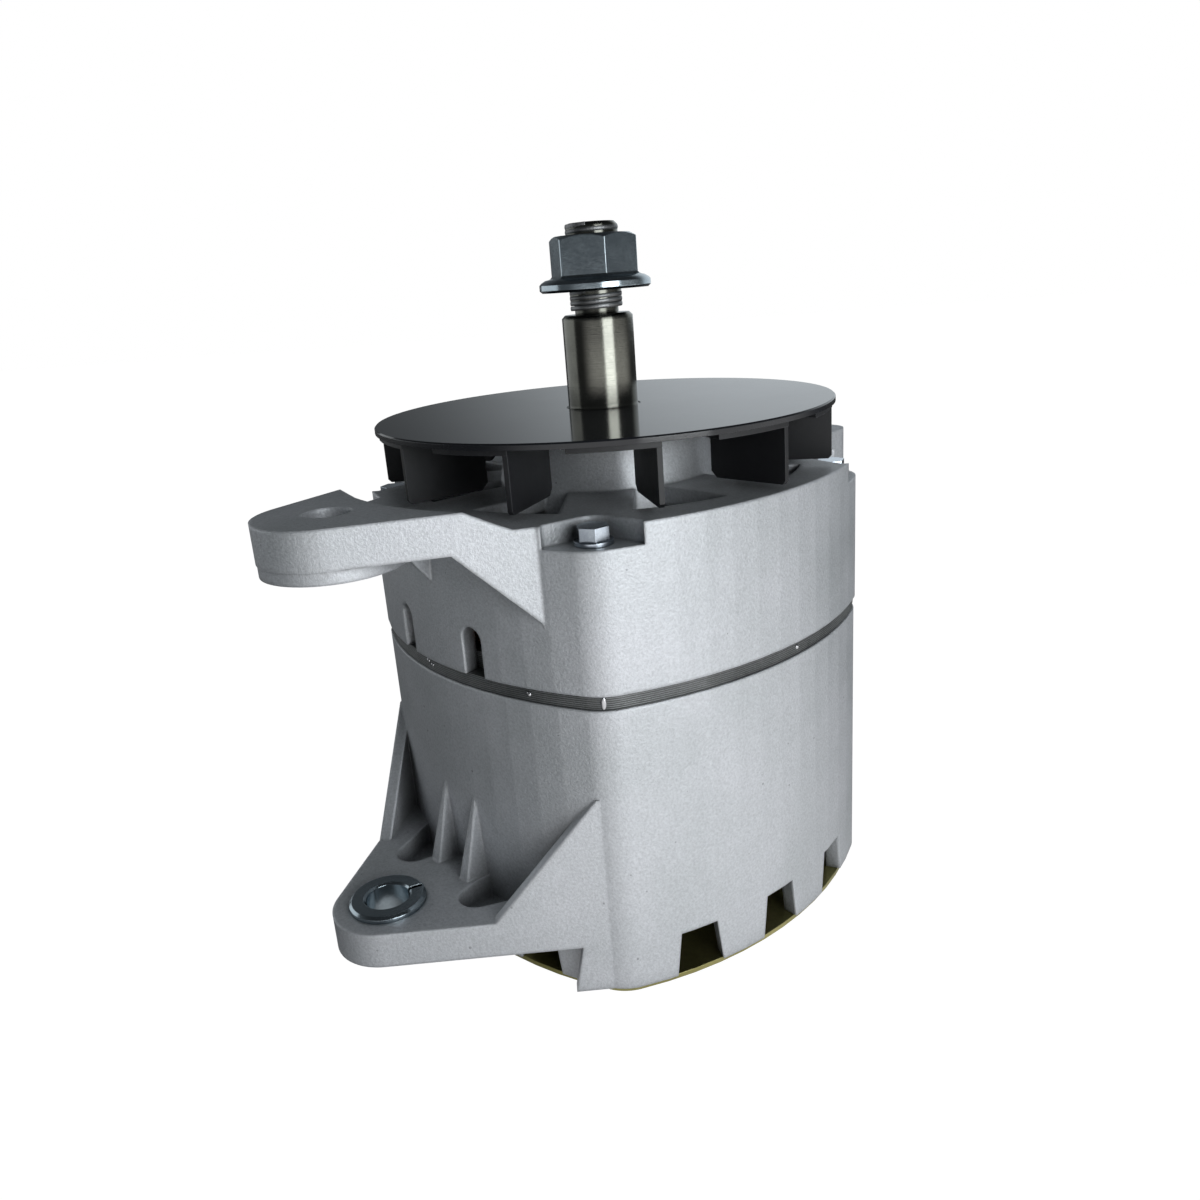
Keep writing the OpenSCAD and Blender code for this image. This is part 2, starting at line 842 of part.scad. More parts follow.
module stator_core() {
    color("#55564f")
        difference() {
            union() {
                body_block(0, band_low_z, band_top_z);
                rod(core_d / 2, core_low_z, core_top_z);
            }
            rod(core_bore_r, core_low_z - 1, core_top_z + 1);
            for (k = [0:slot_n - 1])
                rotate([0, 0, k * 360 / slot_n])
                    translate([core_bore_r - 1, -slot_w / 2, core_low_z - 1])
                        cube([slot_end_r - core_bore_r + 1, slot_w, core_h + 2]);
            at_bolts()
                rod(bolt_clear_r, band_low_z - 1, band_top_z + 1, small_fn);
        }
}

// Two crowns of end turns, joined by a copper bar in every slot
module stator_windings() {
    bar_w = slot_w - 2 * seat_gap;
    bar_low_z = core_low_z - 1;
    color("#9a4a22")
        union() {
            translate([0, 0, core_top_z])
                crown();
            translate([0, 0, core_low_z])
                mirror([0, 0, 1])
                    crown();
            for (k = [0:slot_n - 1])
                rotate([0, 0, k * 360 / slot_n])
                    translate([crown_inner_r, -bar_w / 2, bar_low_z])
                        cube([slot_end_r - seat_gap - crown_inner_r, bar_w, core_h + 2]);
        }
}

// One ring of end turns that stands up from the core with a rounded free end
module crown() {
    foot_in = 0.8;
    round_w = 2.2;
    rotate_extrude($fn = round_fn)
        polygon([
            [crown_inner_r + foot_in, loose_gap],
            [crown_outer_r - foot_in, loose_gap],
            [crown_outer_r, loose_gap + 2],
            [crown_outer_r, crown_h - round_w - 1],
            [crown_outer_r - round_w, crown_h],
            [crown_inner_r + round_w, crown_h],
            [crown_inner_r, crown_h - round_w - 1],
            [crown_inner_r, loose_gap + 2]
        ]);
}

module through_bolts() {
    color("#9fb3b8")
        at_bolts() {
            rod(bolt_d / 2, bolt_end_z, notch_z + bolt_flange_t, small_fn);
            rod(bolt_flange_r, notch_z + seat_gap, notch_z + bolt_flange_t, small_fn);
            translate([0, 0, notch_z + bolt_flange_t - eps])
                rotate([0, 0, 12])
                    hex_prism(bolt_af, bolt_head_h - bolt_flange_t + eps);
        }
}

// Pan head screws that hold the rear cover on the four bosses
module cover_screws() {
    head_z = cover_z - press_gap;
    color("#b8b25a")
        at_bolts() {
            rod(cover_screw_d / 2, head_z - eps, skirt_z + cover_screw_l - 1, small_fn);
            rotate_extrude($fn = small_fn)
                polygon([
                    [0, head_z],
                    [cover_head_r, head_z],
                    [cover_head_r, head_z - cover_head_h / 3],
                    [cover_head_r * 0.8, head_z - cover_head_h * 0.8],
                    [cover_head_r * 0.45, head_z - cover_head_h],
                    [0, head_z - cover_head_h]
                ]);
        }
}

// The outer ring of a ball bearing
module outer_race(outer_r, pitch_r, ball_r, low_z, top_z) {
    color("#8d9094")
        difference() {
            tube(outer_r, pitch_r + ball_r * 0.72, low_z, top_z);
            race_groove(pitch_r, ball_r, (low_z + top_z) / 2);
        }
}

// The inner ring of a ball bearing
module inner_race(inner_r, pitch_r, ball_r, low_z, top_z) {
    color("#a2a5a8")
        difference() {
            tube(pitch_r - ball_r * 0.72, inner_r, low_z, top_z);
            race_groove(pitch_r, ball_r, (low_z + top_z) / 2);
        }
}

module race_groove(pitch_r, ball_r, z) {
    translate([0, 0, z])
        rotate_extrude($fn = round_fn)
            translate([pitch_r, 0])
                circle(r = ball_r + run_gap, $fn = small_fn);
}

module bearing_balls(pitch_r, ball_r, n, z) {
    color("#d0d3d6")
        for (k = [0:n - 1])
            rotate([0, 0, k * 360 / n])
                translate([pitch_r, 0, z])
                    sphere(r = ball_r, $fn = small_fn);
}

module bearing_cage(pitch_r, ball_r, n, z) {
    color("#b08d57")
        difference() {
            tube(pitch_r + 1.1, pitch_r - 1.1, z - ball_r * 1.1, z + ball_r * 1.1);
            for (k = [0:n - 1])
                rotate([0, 0, k * 360 / n])
                    translate([pitch_r, 0, z])
                        sphere(r = ball_r + seat_gap, $fn = small_fn);
        }
}

module drive_bearing_outer_race() {
    outer_race(drive_bearing_d / 2, drive_pitch_r, drive_ball_r,
        drive_bearing_low_z, drive_bearing_top_z - seat_gap);
}

module drive_bearing_inner_race() {
    inner_race(drive_bore_d / 2 + press_gap, drive_pitch_r, drive_ball_r,
        drive_bearing_low_z, drive_bearing_top_z - seat_gap);
}

module drive_bearing_balls() {
    bearing_balls(drive_pitch_r, drive_ball_r, drive_ball_n, drive_ball_z);
}

module drive_bearing_cage() {
    bearing_cage(drive_pitch_r, drive_ball_r, drive_ball_n, drive_ball_z);
}

module rear_bearing_outer_race() {
    outer_race(rear_bearing_d / 2, rear_pitch_r, rear_ball_r,
        rear_bearing_low_z + seat_gap, rear_bearing_top_z);
}

module rear_bearing_inner_race() {
    inner_race(rear_seat_d / 2 + press_gap, rear_pitch_r, rear_ball_r,
        rear_bearing_low_z + seat_gap, rear_bearing_top_z);
}

module rear_bearing_balls() {
    bearing_balls(rear_pitch_r, rear_ball_r, rear_ball_n, rear_ball_z);
}

module rear_bearing_cage() {
    bearing_cage(rear_pitch_r, rear_ball_r, rear_ball_n, rear_ball_z);
}

module at_retainer_screws() {
    for (k = [0:retainer_screw_n - 1])
        rotate([0, 0, 45 + k * 360 / retainer_screw_n])
            translate([retainer_screw_r, 0, 0])
                children();
}

module bearing_retainer() {
    color("#8b8f93")
        difference() {
            tube(hub_foot_r - 0.5, drive_pitch_r + 1,
                drive_bearing_low_z - seat_gap - retainer_t, drive_bearing_low_z - seat_gap);
            at_retainer_screws()
                rod(retainer_screw_d / 2 + seat_gap, drive_bearing_low_z - retainer_t - 1,
                    drive_bearing_low_z + 1, small_fn);
        }
}

module retainer_screws() {
    head_top_z = drive_bearing_low_z - retainer_t - 2 * seat_gap;
    color("#7d8286")
        at_retainer_screws() {
            rod(retainer_screw_d / 2, head_top_z - eps, drive_bearing_low_z + retainer_screw_l,
                small_fn);
            difference() {
                rod(retainer_screw_d / 2 + 1.8, head_top_z - screw_head_h, head_top_z, small_fn);
                translate([0, 0, head_top_z - screw_head_h - eps])
                    hex_prism(retainer_screw_d / 2 + 1, screw_head_h / 2);
            }
        }
}

// The rear cover, with a shallow bead pressed round its middle
module rear_cover() {
    bead_r = 38;
    bead_w = 4;
    bead_depth = cover_t / 3;
    color("#8f8c3f")
        difference() {
            body_block(-cover_inset, cover_z, skirt_z - press_gap);
            at_bolts()
                rod(cover_screw_d / 2 + seat_gap, cover_z - 1, skirt_z + 1, small_fn);
            tube(bead_r + bead_w / 2, bead_r - bead_w / 2, cover_z - eps, cover_z + bead_depth);
        }
}

// A flat rectifier plate between two angles, with holes for its screws
module heat_plate(top_z) {
    difference() {
        translate([0, 0, top_z - heat_plate_t])
            linear_extrude(heat_plate_t)
                sector(plate_inner_r, plate_outer_r, plate_from_a, plate_to_a, 24);
        at_spacers()
            rod(deck_screw_r + seat_gap, top_z - heat_plate_t - 1, top_z + 1, small_fn);
    }
}

module at_spacers() {
    for (a = spacer_a)
        rotate([0, 0, a])
            translate([spacer_at_r, 0, 0])
                children();
}

module at_diodes() {
    for (a = diode_a)
        rotate([0, 0, a])
            translate([diode_ring_r, 0, 0])
                children();
}

module rectifier_negative_plate() {
    color("#b4b7ba")
        heat_plate(neg_plate_z);
}

// The lower plate carries the output stud on a lug
module rectifier_positive_plate() {
    lug_w = 12;
    lug_block_h = 9;
    color("#b4b7ba")
        union() {
            heat_plate(pos_plate_z);
            rotate([0, 0, stud_a])
                translate([plate_outer_r - lug_l / 2, -lug_w / 2, stud_z - lug_block_h / 2])
                    cube([lug_l, lug_w, lug_block_h]);
        }
}

module rectifier_spacers() {
    color("#3a2a1c")
        at_spacers()
            tube(spacer_r, deck_screw_r + seat_gap, pos_plate_z + seat_gap,
                neg_plate_z - heat_plate_t - seat_gap, small_fn);
}

// Screws that clamp both plates and their spacers under the deck
module rectifier_screws() {
    head_z = pos_plate_z - heat_plate_t - seat_gap;
    color("#9fa3a6")
        at_spacers() {
            rod(deck_screw_r, head_z - eps, deck_low_z + screw_grip, small_fn);
            rod(screw_head_r, head_z - screw_head_h, head_z, small_fn);
        }
}

module rectifier_diodes() {
    pos_low_z = pos_plate_z - heat_plate_t;
    diode_h = 5;
    diode_pin_r = 1;
    diode_pin_l = 2.5;
    color("#50545a")
        at_diodes() {
            rod(diode_r, pos_plate_z + seat_gap, neg_plate_z - heat_plate_t - seat_gap, small_fn);
            rod(diode_r, pos_low_z - diode_h, pos_low_z - seat_gap, small_fn);
            rod(diode_pin_r, pos_low_z - diode_h - diode_pin_l, pos_low_z - diode_h + eps, small_fn);
        }
}

// Three leads run from the windings through the deck windows to the diodes
module phase_leads() {
    lead_start_r = diode_ring_r + diode_r + seat_gap;
    lead_low_z = neg_plate_z - heat_plate_t - plate_step / 3;
    color("#a0522d")
        for (a = diode_a)
            rotate([0, 0, a]) {
                translate([lead_at_r, 0, 0])
                    rod(lead_r, lead_low_z - lead_r, crown_low_z - seat_gap, small_fn);
                translate([lead_start_r, 0, lead_low_z])
                    rotate([0, 90, 0])
                        cylinder(h = lead_at_r - lead_start_r, r = lead_r, $fn = small_fn);
            }
}

module at_regulator_screws() {
    rotate([0, 0, regulator_a])
        for (x = [plate_inner_r + 6, plate_outer_r - 2])
            translate([x, 0, 0])
                children();
}

module regulator() {
    color("#26282b")
        difference() {
            translate([0, 0, regulator_top_z - regulator_h])
                linear_extrude(regulator_h)
                    sector(plate_inner_r, plate_outer_r + 4, regulator_a - 24, regulator_a + 24, 8);
            at_regulator_screws()
                rod(deck_screw_r + seat_gap, regulator_top_z - regulator_h - 1,
                    regulator_top_z + 1, small_fn);
        }
}

module regulator_screws() {
    head_z = regulator_top_z - regulator_h - seat_gap;
    color("#9fa3a6")
        at_regulator_screws() {
            rod(deck_screw_r, head_z - eps, deck_low_z + screw_grip, small_fn);
            rod(screw_head_r, head_z - screw_head_h, head_z, small_fn);
        }
}

// The holder in its own frame: the shaft axis is at x = 0 and the brushes lie along x
module in_brush_frame() {
    rotate([0, 0, brush_dir])
        children();
}

module at_holder_screw() {
    in_brush_frame()
        translate([holder_screw_x, 0, 0])
            children();
}

module brush_holder() {
    top_z = ring_a_z + brush_h / 2 + holder_wall;
    tab_w = 18;
    base_z = deck_z + seat_gap;
    color("#5a2f22")
        in_brush_frame()
            difference() {
                union() {
                    translate([holder_start, -brush_w / 2 - holder_wall, base_z])
                        cube([holder_back - holder_start + holder_wall,
                            brush_w + 2 * holder_wall, top_z - base_z]);
                    translate([holder_back - 1, -tab_w / 2, base_z])
                        cube([holder_tab_l, tab_w, holder_tab_t]);
                }
                for (z = [ring_a_z, ring_b_z])
                    translate([holder_start - 1, -brush_w / 2 - seat_gap,
                        z - brush_h / 2 - seat_gap])
                        cube([holder_back - holder_start + 1, brush_w + 2 * seat_gap,
                            brush_h + 2 * seat_gap]);
                translate([holder_screw_x, 0, 0])
                    rod(deck_screw_r + seat_gap, deck_z - 1, deck_z + holder_tab_t + 1, small_fn);
            }
}

module brush_holder_screws() {
    head_z = deck_z + holder_tab_t + 2 * seat_gap;
    color("#9fa3a6")
        at_holder_screw() {
            rod(deck_screw_r, deck_z - screw_grip, head_z + eps, small_fn);
            rod(screw_head_r, head_z, head_z + screw_head_h, small_fn);
        }
}

module brush(z) {
    color("#2c2c2e")
        in_brush_frame()
            translate([brush_start, -brush_w / 2, z - brush_h / 2])
                cube([brush_l, brush_w, brush_h]);
}

module brush_a() {
    brush(ring_a_z);
}

module brush_b() {
    brush(ring_b_z);
}

// A compression spring between a brush and the end of its channel
module brush_spring(z) {
    spring_l = holder_back - brush_end - 2 * seat_gap;
    color("#b9bcc0")
        in_brush_frame()
            translate([brush_end + seat_gap, 0, z])
                rotate([0, 90, 0])
                    rotate_extrude($fn = small_fn)
                        union() {
                            for (k = [0:spring_turns - 1])
                                translate([spring_r - spring_wire_r,
                                    spring_l * (k + 0.5) / spring_turns])
                                    circle(r = spring_wire_r, $fn = 16);
                            translate([spring_r - spring_wire_r * 1.4, 0])
                                square([spring_wire_r * 0.8, spring_l]);
                        }
}

module brush_spring_a() {
    brush_spring(ring_a_z);
}

module brush_spring_b() {
    brush_spring(ring_b_z);
}

// A suppression capacitor in a strap on the deck
module capacitor() {
    can_r = 6.5;
    can_l = 22;
    strap_w = 8;
    can_z = deck_low_z - can_r - 1;
    color("#6d7175")
        rotate([0, 0, -45]) {
            translate([plate_inner_r + 4, 0, can_z])
                rotate([0, 90, 0])
                    cylinder(h = can_l, r = can_r, $fn = 48);
            translate([plate_inner_r + 4 + (can_l - strap_w) / 2, -can_r, can_z])
                cube([strap_w, 2 * can_r, deck_low_z - seat_gap - can_z]);
        }
}

module radial_rod(a, r, from_r, to_r, z, fn = small_fn) {
    rotate([0, 0, a])
        translate([from_r, 0, z])
            rotate([0, 90, 0])
                cylinder(h = to_r - from_r, r = r, $fn = fn);
}

// Distance from the shaft axis to the face of the pad at an angle
function pad_r(a) = side_r(a, rear_overhang) + pad_h;

// The stud is thicker where its nut sits than at the free end, which takes the cable
module output_stud() {
    base_end_r = nut_start_r + stud_washer_t + stud_nut_h + stud_step;
    color("#b87333")
        union() {
            radial_rod(stud_a, stud_base_r, plate_outer_r + lug_l / 2 + seat_gap, base_end_r,
                stud_z);
            radial_rod(stud_a, stud_d / 2, base_end_r - 1, pad_r(stud_a) + stud_l, stud_z);
        }
}

// The bush that keeps the stud clear of the frame, with a rim on the pad
module output_insulator() {
    face_r = pad_r(stud_a);
    color("#1c1d20")
        difference() {
            union() {
                radial_rod(stud_a, insulator_r, face_r - cast_wall - 2, face_r + 2, stud_z);
                radial_rod(stud_a, insulator_r + insulator_rim, face_r + press_gap,
                    face_r + insulator_h, stud_z);
            }
            radial_rod(stud_a, stud_base_r + press_gap, face_r - 12, face_r + 6, stud_z);
        }
}

module output_nut() {
    color("#a9adb1")
        difference() {
            union() {
                radial_rod(stud_a, stud_base_r + 4, nut_start_r, nut_start_r + stud_washer_t,
                    stud_z);
                radial_rod(stud_a, stud_base_r + 3.3, nut_start_r + stud_washer_t - eps,
                    nut_start_r + stud_washer_t + stud_nut_h, stud_z, 6);
            }
            radial_rod(stud_a, stud_base_r + press_gap, nut_start_r - 1,
                nut_start_r + stud_washer_t + stud_nut_h + 1, stud_z);
        }
}

// The small stud beside the output terminal, in its own insulator
module relay_terminal() {
    face_r = pad_r(relay_a);
    rim_h = 2.2;
    nut_r = 4.6;
    nut_l = 3.6;
    relay_stud_l = 14;
    color("#34363a")
        union() {
            radial_rod(relay_a, relay_r, face_r - cast_wall - 1.5, face_r + 1, stud_z);
            radial_rod(relay_a, relay_r + relay_rim, face_r + press_gap, face_r + rim_h, stud_z);
            radial_rod(relay_a, relay_stud_r, face_r + rim_h - eps, face_r + relay_stud_l, stud_z);
            radial_rod(relay_a, nut_r, face_r + rim_h - eps, face_r + rim_h + nut_l, stud_z, 6);
        }
}

module ground_screw() {
    face_r = pad_r(ground_a);
    flange_t = 1.5;
    head_r = 5.6;
    head_l = 4;
    color("#9fb3b8")
        union() {
            radial_rod(ground_a, ground_screw_d / 2, face_r - 9, face_r + 1, stud_z);
            radial_rod(ground_a, ground_flange_r, face_r + press_gap, face_r + flange_t, stud_z);
            radial_rod(ground_a, head_r, face_r + flange_t - eps, face_r + flange_t + head_l,
                stud_z, 6);
        }
}

module shaft() {
    groove_h = 2.6;
    chamfer = 1;
    top_z = seat_l + thread_l;
    color("#8e8e8a")
        difference() {
            rotate_extrude($fn = round_fn)
                polygon([
                    [0, rear_bearing_low_z - 1],
                    [rear_seat_d / 2 - 0.8, rear_bearing_low_z - 1],
                    [rear_seat_d / 2, rear_bearing_low_z - 0.2],
                    [rear_seat_d / 2, rear_bearing_top_z],
                    [ring_shaft_r, rear_bearing_top_z],
                    [ring_shaft_r, pole_low_z - 1],
                    [rotor_shaft_d / 2, pole_low_z - 1],
                    [rotor_shaft_d / 2, drive_bearing_low_z],
                    [drive_bore_d / 2, drive_bearing_low_z],
                    [drive_bore_d / 2, drive_bearing_top_z],
                    [fan_seat_r, drive_bearing_top_z],
                    [fan_seat_r, -seat_gap],
                    [seat_d / 2, -seat_gap],
                    [seat_d / 2, seat_l - chamfer],
                    [seat_d / 2 - chamfer, seat_l],
                    [thread_d / 2 - 1.2, seat_l],
                    [thread_d / 2 - 1.2, seat_l + groove_h],
                    [thread_d / 2, seat_l + groove_h + 1],
                    [thread_d / 2, top_z - chamfer],
                    [thread_d / 2 - chamfer, top_z],
                    [0, top_z]
                ]);
            translate([0, 0, top_z - 9])
                hex_prism(shaft_hex_af, 10);
        }
}

module shaft_nut() {
    nut_z = seat_l + nut_gap;
    hex_r = nut_af / 2 / cos(30);
    color("#8fa3ad")
        translate([0, 0, nut_z])
            difference() {
                union() {
                    rotate_extrude($fn = round_fn)
                        polygon([
                            [0, 0],
                            [nut_flange_d / 2 - 0.8, 0],
                            [nut_flange_d / 2, 0.8],
                            [nut_flange_d / 2, nut_flange_h - 1.2],
                            [nut_flange_d / 2 - 1, nut_flange_h - 0.5],
                            [hex_r - 0.5, nut_flange_h + 0.8],
                            [0, nut_flange_h + 0.8]
                        ]);
                    intersection() {
                        rotate([0, 0, nut_turn_a])
                            hex_prism(nut_af, nut_h);
                        rotate_extrude($fn = round_fn)
                            polygon([
                                [0, 0],
                                [hex_r + 1, 0],
                                [hex_r + 1, nut_h - 1.9],
                                [nut_af / 2 - 0.3, nut_h],
                                [0, nut_h]
                            ]);
                    }
                }
                rod(thread_d / 2 + press_gap, -1, nut_h + 1, 64);
            }
}

module fan_disc() {
    color("#2f3336")
        difference() {
            rotate_extrude($fn = round_fn)
                polygon([
                    [0, -fan_t],
                    [fan_d / 2, -fan_t],
                    [fan_d / 2, -0.4],
                    [fan_d / 2 - 0.4, 0],
                    [0, 0]
                ]);
            rod(fan_seat_r + press_gap, -fan_t - 1, 1);
        }
}

// The stamped blade plate: a hub ring with one bent flange and blade per sector
module fan_blades() {
    flange_top_z = -fan_t - press_gap;
    flange_low_z = flange_top_z - blade_t;
    blade_low_z = -fan_t - blade_h;
    tip_r = fan_d / 2 - 1;
    plate_r = blade_inner_r - 1.5;
    flange_lap = 2;
    corner_in = 1;
    color("#1d1f22")
        difference() {
            union() {
                translate([0, 0, flange_low_z])
                    linear_extrude(blade_t)
                        union() {
                            circle(plate_r);
                            for (k = [0:blade_n - 1])
                                rotate(blade_start_a - 90 + k * 360 / blade_n)
                                    sector(plate_r - flange_lap, tip_r, -blade_flange_a, 0, 8);
                        }
                for (k = [0:blade_n - 1])
                    rotate([90, 0, blade_start_a - 90 + k * 360 / blade_n])
                        linear_extrude(blade_t)
                            polygon([
                                [blade_inner_r, flange_top_z - blade_t / 3],
                                [tip_r - 0.2, flange_top_z - blade_t / 3],
                                [tip_r - 0.2, blade_low_z + corner_in],
                                [tip_r - 0.2 - corner_in, blade_low_z],
                                [blade_inner_r + 2 * corner_in, blade_low_z],
                                [blade_inner_r, blade_low_z + 2 * corner_in]
                            ]);
            }
            rod(fan_seat_r + press_gap, flange_low_z - 1, 1);
        }
}

module fan_collar() {
    color("#85888b")
        tube(collar_r, fan_seat_r + press_gap, drive_bearing_top_z,
            -fan_stack - 3 * press_gap);
}

// One half of the claw pole rotor, with its plate up and its claws hanging down
module claw_pole() {
    claw_l = pole_t + core_h - claw_end_gap;
    valley_r = pole_core_r + 11;
    difference() {
        intersection() {
            union() {
                rod(valley_r, -pole_t, 0);
                for (k = [0:claw_n - 1])
                    rotate([0, 0, k * 360 / claw_n])
                        claw(claw_l);
            }
            rod(rotor_d / 2, -claw_l - 1, 1);
        }
        rod(rotor_shaft_d / 2 + press_gap, -pole_t - 1, 1);
    }
}

// A claw: a spoke of the plate and a finger that narrows and thins towards its tip
module claw(claw_l) {
    translate([rotor_d / 2 - claw_root_t - 3, 0, 0])
        rotate([90, 0, 90])
            linear_extrude(claw_root_t + 6)
                polygon([
                    [-claw_root_w / 2, 0],
                    [-claw_root_w / 2, -pole_t],
                    [-claw_tip_w / 2, -claw_l],
                    [claw_tip_w / 2, -claw_l],
                    [claw_root_w / 2, -pole_t],
                    [claw_root_w / 2, 0]
                ]);
    translate([0, -claw_root_w / 2, -pole_t])
        cube([rotor_d / 2 - 5, claw_root_w, pole_t]);
}

module claw_hollow() {
    hollow_r = rotor_d / 2 - claw_root_t;
    tip_hollow_r = rotor_d / 2 - claw_tip_t;
    rotate_extrude($fn = round_fn)
        polygon([
            [0, -pole_t],
            [hollow_r, -pole_t],
            [tip_hollow_r, -pole_t - core_h],
            [0, -pole_t - core_h]
        ]);
}

module claw_pole_half() {
    color("#6f7275")
        union() {
            difference() {
                claw_pole();
                claw_hollow();
            }
            difference() {
                rod(pole_core_r, -pole_t - core_h / 2 + seat_gap, -pole_t + eps);
                rod(rotor_shaft_d / 2 + press_gap, -pole_t - core_h, 1);
            }
        }
}

module claw_pole_front() {
    translate([0, 0, pole_top_z])
        claw_pole_half();
}

module claw_pole_rear() {
    translate([0, 0, pole_low_z])
        rotate([0, 0, 180 / claw_n])
            mirror([0, 0, 1])
                claw_pole_half();
}

module field_bobbin() {
    flange_r = coil_r - 1;
    low_z = core_low_z + seat_gap;
    top_z = core_top_z - seat_gap;
    color("#3b2f2a")
        union() {
            tube(bobbin_r + bobbin_wall, bobbin_r, low_z, top_z);
            tube(flange_r, bobbin_r + eps, low_z, low_z + bobbin_wall);
            tube(flange_r, bobbin_r + eps, top_z - bobbin_wall, top_z);
        }
}

module field_coil() {
    color("#a8542a")
        tube(coil_r - 2.5, bobbin_r + bobbin_wall + press_gap,
            core_low_z + bobbin_wall + 2 * seat_gap, core_top_z - bobbin_wall - 2 * seat_gap);
}

module slip_ring_hub() {
    color("#2b1c18")
        tube(ring_hub_r, ring_shaft_r + press_gap, ring_hub_low_z, ring_hub_top_z);
}

module slip_rings() {
    color("#b87333")
        for (z = [ring_a_z, ring_b_z])
            tube(ring_r, ring_hub_r + press_gap, z - ring_w / 2, z + ring_w / 2);
}

// The split steel bush that slides in the lower ear when the hinge bolt is tightened
module adjusting_bush() {
    bush_top_z = lower_ear_top_z + bush_proud;
    bush_chamfer = 0.8;
    color("#86a0a4")
        at_hinge()
            difference() {
                rotate_extrude($fn = round_fn)
                    polygon([
                        [hinge_hole_d / 2, lower_ear_low_z],
                        [bush_d / 2 - bush_chamfer, lower_ear_low_z],
                        [bush_d / 2, lower_ear_low_z + bush_chamfer],
                        [bush_d / 2, bush_top_z - bush_chamfer],
                        [bush_d / 2 - bush_chamfer, bush_top_z],
                        [hinge_hole_d / 2 + 0.6, bush_top_z],
                        [hinge_hole_d / 2, bush_top_z - 0.6]
                    ]);
                rotate([0, 0, slit_a])
                    translate([0, -bush_slit / 2, lower_ear_low_z - 1])
                        cube([bush_d, bush_slit, ear_t + bush_proud + 2]);
            }
}

drive_end_frame();
rear_frame();
stator_core();
stator_windings();
through_bolts();
cover_screws();
drive_bearing_outer_race();
bearing_retainer();
retainer_screws();
rear_bearing_outer_race();
rear_cover();
rectifier_positive_plate();
rectifier_negative_plate();
rectifier_spacers();
rectifier_screws();
rectifier_diodes();
phase_leads();
regulator();
regulator_screws();
brush_holder();
brush_holder_screws();
capacitor();
output_stud();
output_insulator();
output_nut();
relay_terminal();
ground_screw();
shaft();
shaft_nut();
fan_disc();
fan_blades();
fan_collar();
drive_bearing_inner_race();
claw_pole_front();
claw_pole_rear();
field_bobbin();
field_coil();
slip_ring_hub();
slip_rings();
rear_bearing_inner_race();
drive_bearing_balls();
drive_bearing_cage();
rear_bearing_balls();
rear_bearing_cage();
brush_a();
brush_b();
brush_spring_a();
brush_spring_b();
adjusting_bush();
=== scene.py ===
import json
import math

import bmesh
import bpy
import numpy as np
from mathutils import Matrix, Vector
from mathutils.bvhtree import BVHTree


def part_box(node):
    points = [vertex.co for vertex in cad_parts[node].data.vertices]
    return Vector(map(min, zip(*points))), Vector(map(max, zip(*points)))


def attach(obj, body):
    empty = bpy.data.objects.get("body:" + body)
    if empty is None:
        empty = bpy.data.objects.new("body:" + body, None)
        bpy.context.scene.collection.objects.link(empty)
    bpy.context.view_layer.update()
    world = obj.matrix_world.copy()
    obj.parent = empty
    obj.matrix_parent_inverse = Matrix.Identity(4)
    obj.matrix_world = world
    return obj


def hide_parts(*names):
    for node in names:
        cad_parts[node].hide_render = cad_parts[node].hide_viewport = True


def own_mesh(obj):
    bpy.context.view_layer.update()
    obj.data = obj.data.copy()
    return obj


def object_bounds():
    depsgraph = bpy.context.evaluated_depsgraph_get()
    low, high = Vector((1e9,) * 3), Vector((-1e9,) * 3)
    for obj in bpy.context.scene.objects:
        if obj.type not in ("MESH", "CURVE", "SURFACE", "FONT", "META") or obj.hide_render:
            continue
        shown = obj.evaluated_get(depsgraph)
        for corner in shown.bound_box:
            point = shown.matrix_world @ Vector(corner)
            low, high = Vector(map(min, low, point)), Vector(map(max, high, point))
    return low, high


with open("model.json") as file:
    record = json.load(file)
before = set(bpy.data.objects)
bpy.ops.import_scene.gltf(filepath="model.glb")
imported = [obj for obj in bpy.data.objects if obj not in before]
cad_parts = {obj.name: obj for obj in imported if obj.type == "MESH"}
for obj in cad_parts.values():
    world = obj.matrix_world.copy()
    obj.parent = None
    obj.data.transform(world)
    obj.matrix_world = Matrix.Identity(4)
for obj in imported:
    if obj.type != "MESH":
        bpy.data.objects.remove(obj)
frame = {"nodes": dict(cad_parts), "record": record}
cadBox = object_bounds()
nodes = frame["nodes"]
mm = 0.001


# The camera stands where the photographer stood: place in metres, angles in radians, lens in mm
photoView = {
    "place": (0.02264, -0.3238, 0.03887),
    "yaw": -0.0908,
    "pitch": 0.311,
    "roll": -0.076,
    "lens": 30.0,
    "sensor": 36.0,
    "shiftX": 0.0025,
    "nearest": 0.01,
}


def makeCamera(view):
    yaw, pitch, roll = view["yaw"], view["pitch"], view["roll"]
    ahead = Vector((math.sin(yaw) * math.cos(pitch), math.cos(yaw) * math.cos(pitch),
                    -math.sin(pitch)))
    level = Vector((math.cos(yaw), -math.sin(yaw), 0))
    above = level.cross(ahead)
    right = level * math.cos(roll) + above * math.sin(roll)
    up = above * math.cos(roll) - level * math.sin(roll)
    camera = bpy.data.objects.new("photoCamera", bpy.data.cameras.new("photoCamera"))
    camera.matrix_world = Matrix((
        (right.x, up.x, -ahead.x, view["place"][0]),
        (right.y, up.y, -ahead.y, view["place"][1]),
        (right.z, up.z, -ahead.z, view["place"][2]),
        (0, 0, 0, 1),
    ))
    camera.data.lens = view["lens"]
    camera.data.sensor_width = view["sensor"]
    camera.data.shift_x = view["shiftX"]
    camera.data.clip_start = view["nearest"]
    bpy.context.scene.collection.objects.link(camera)
    bpy.context.scene.camera = camera


makeCamera(photoView)
print("camera placed")


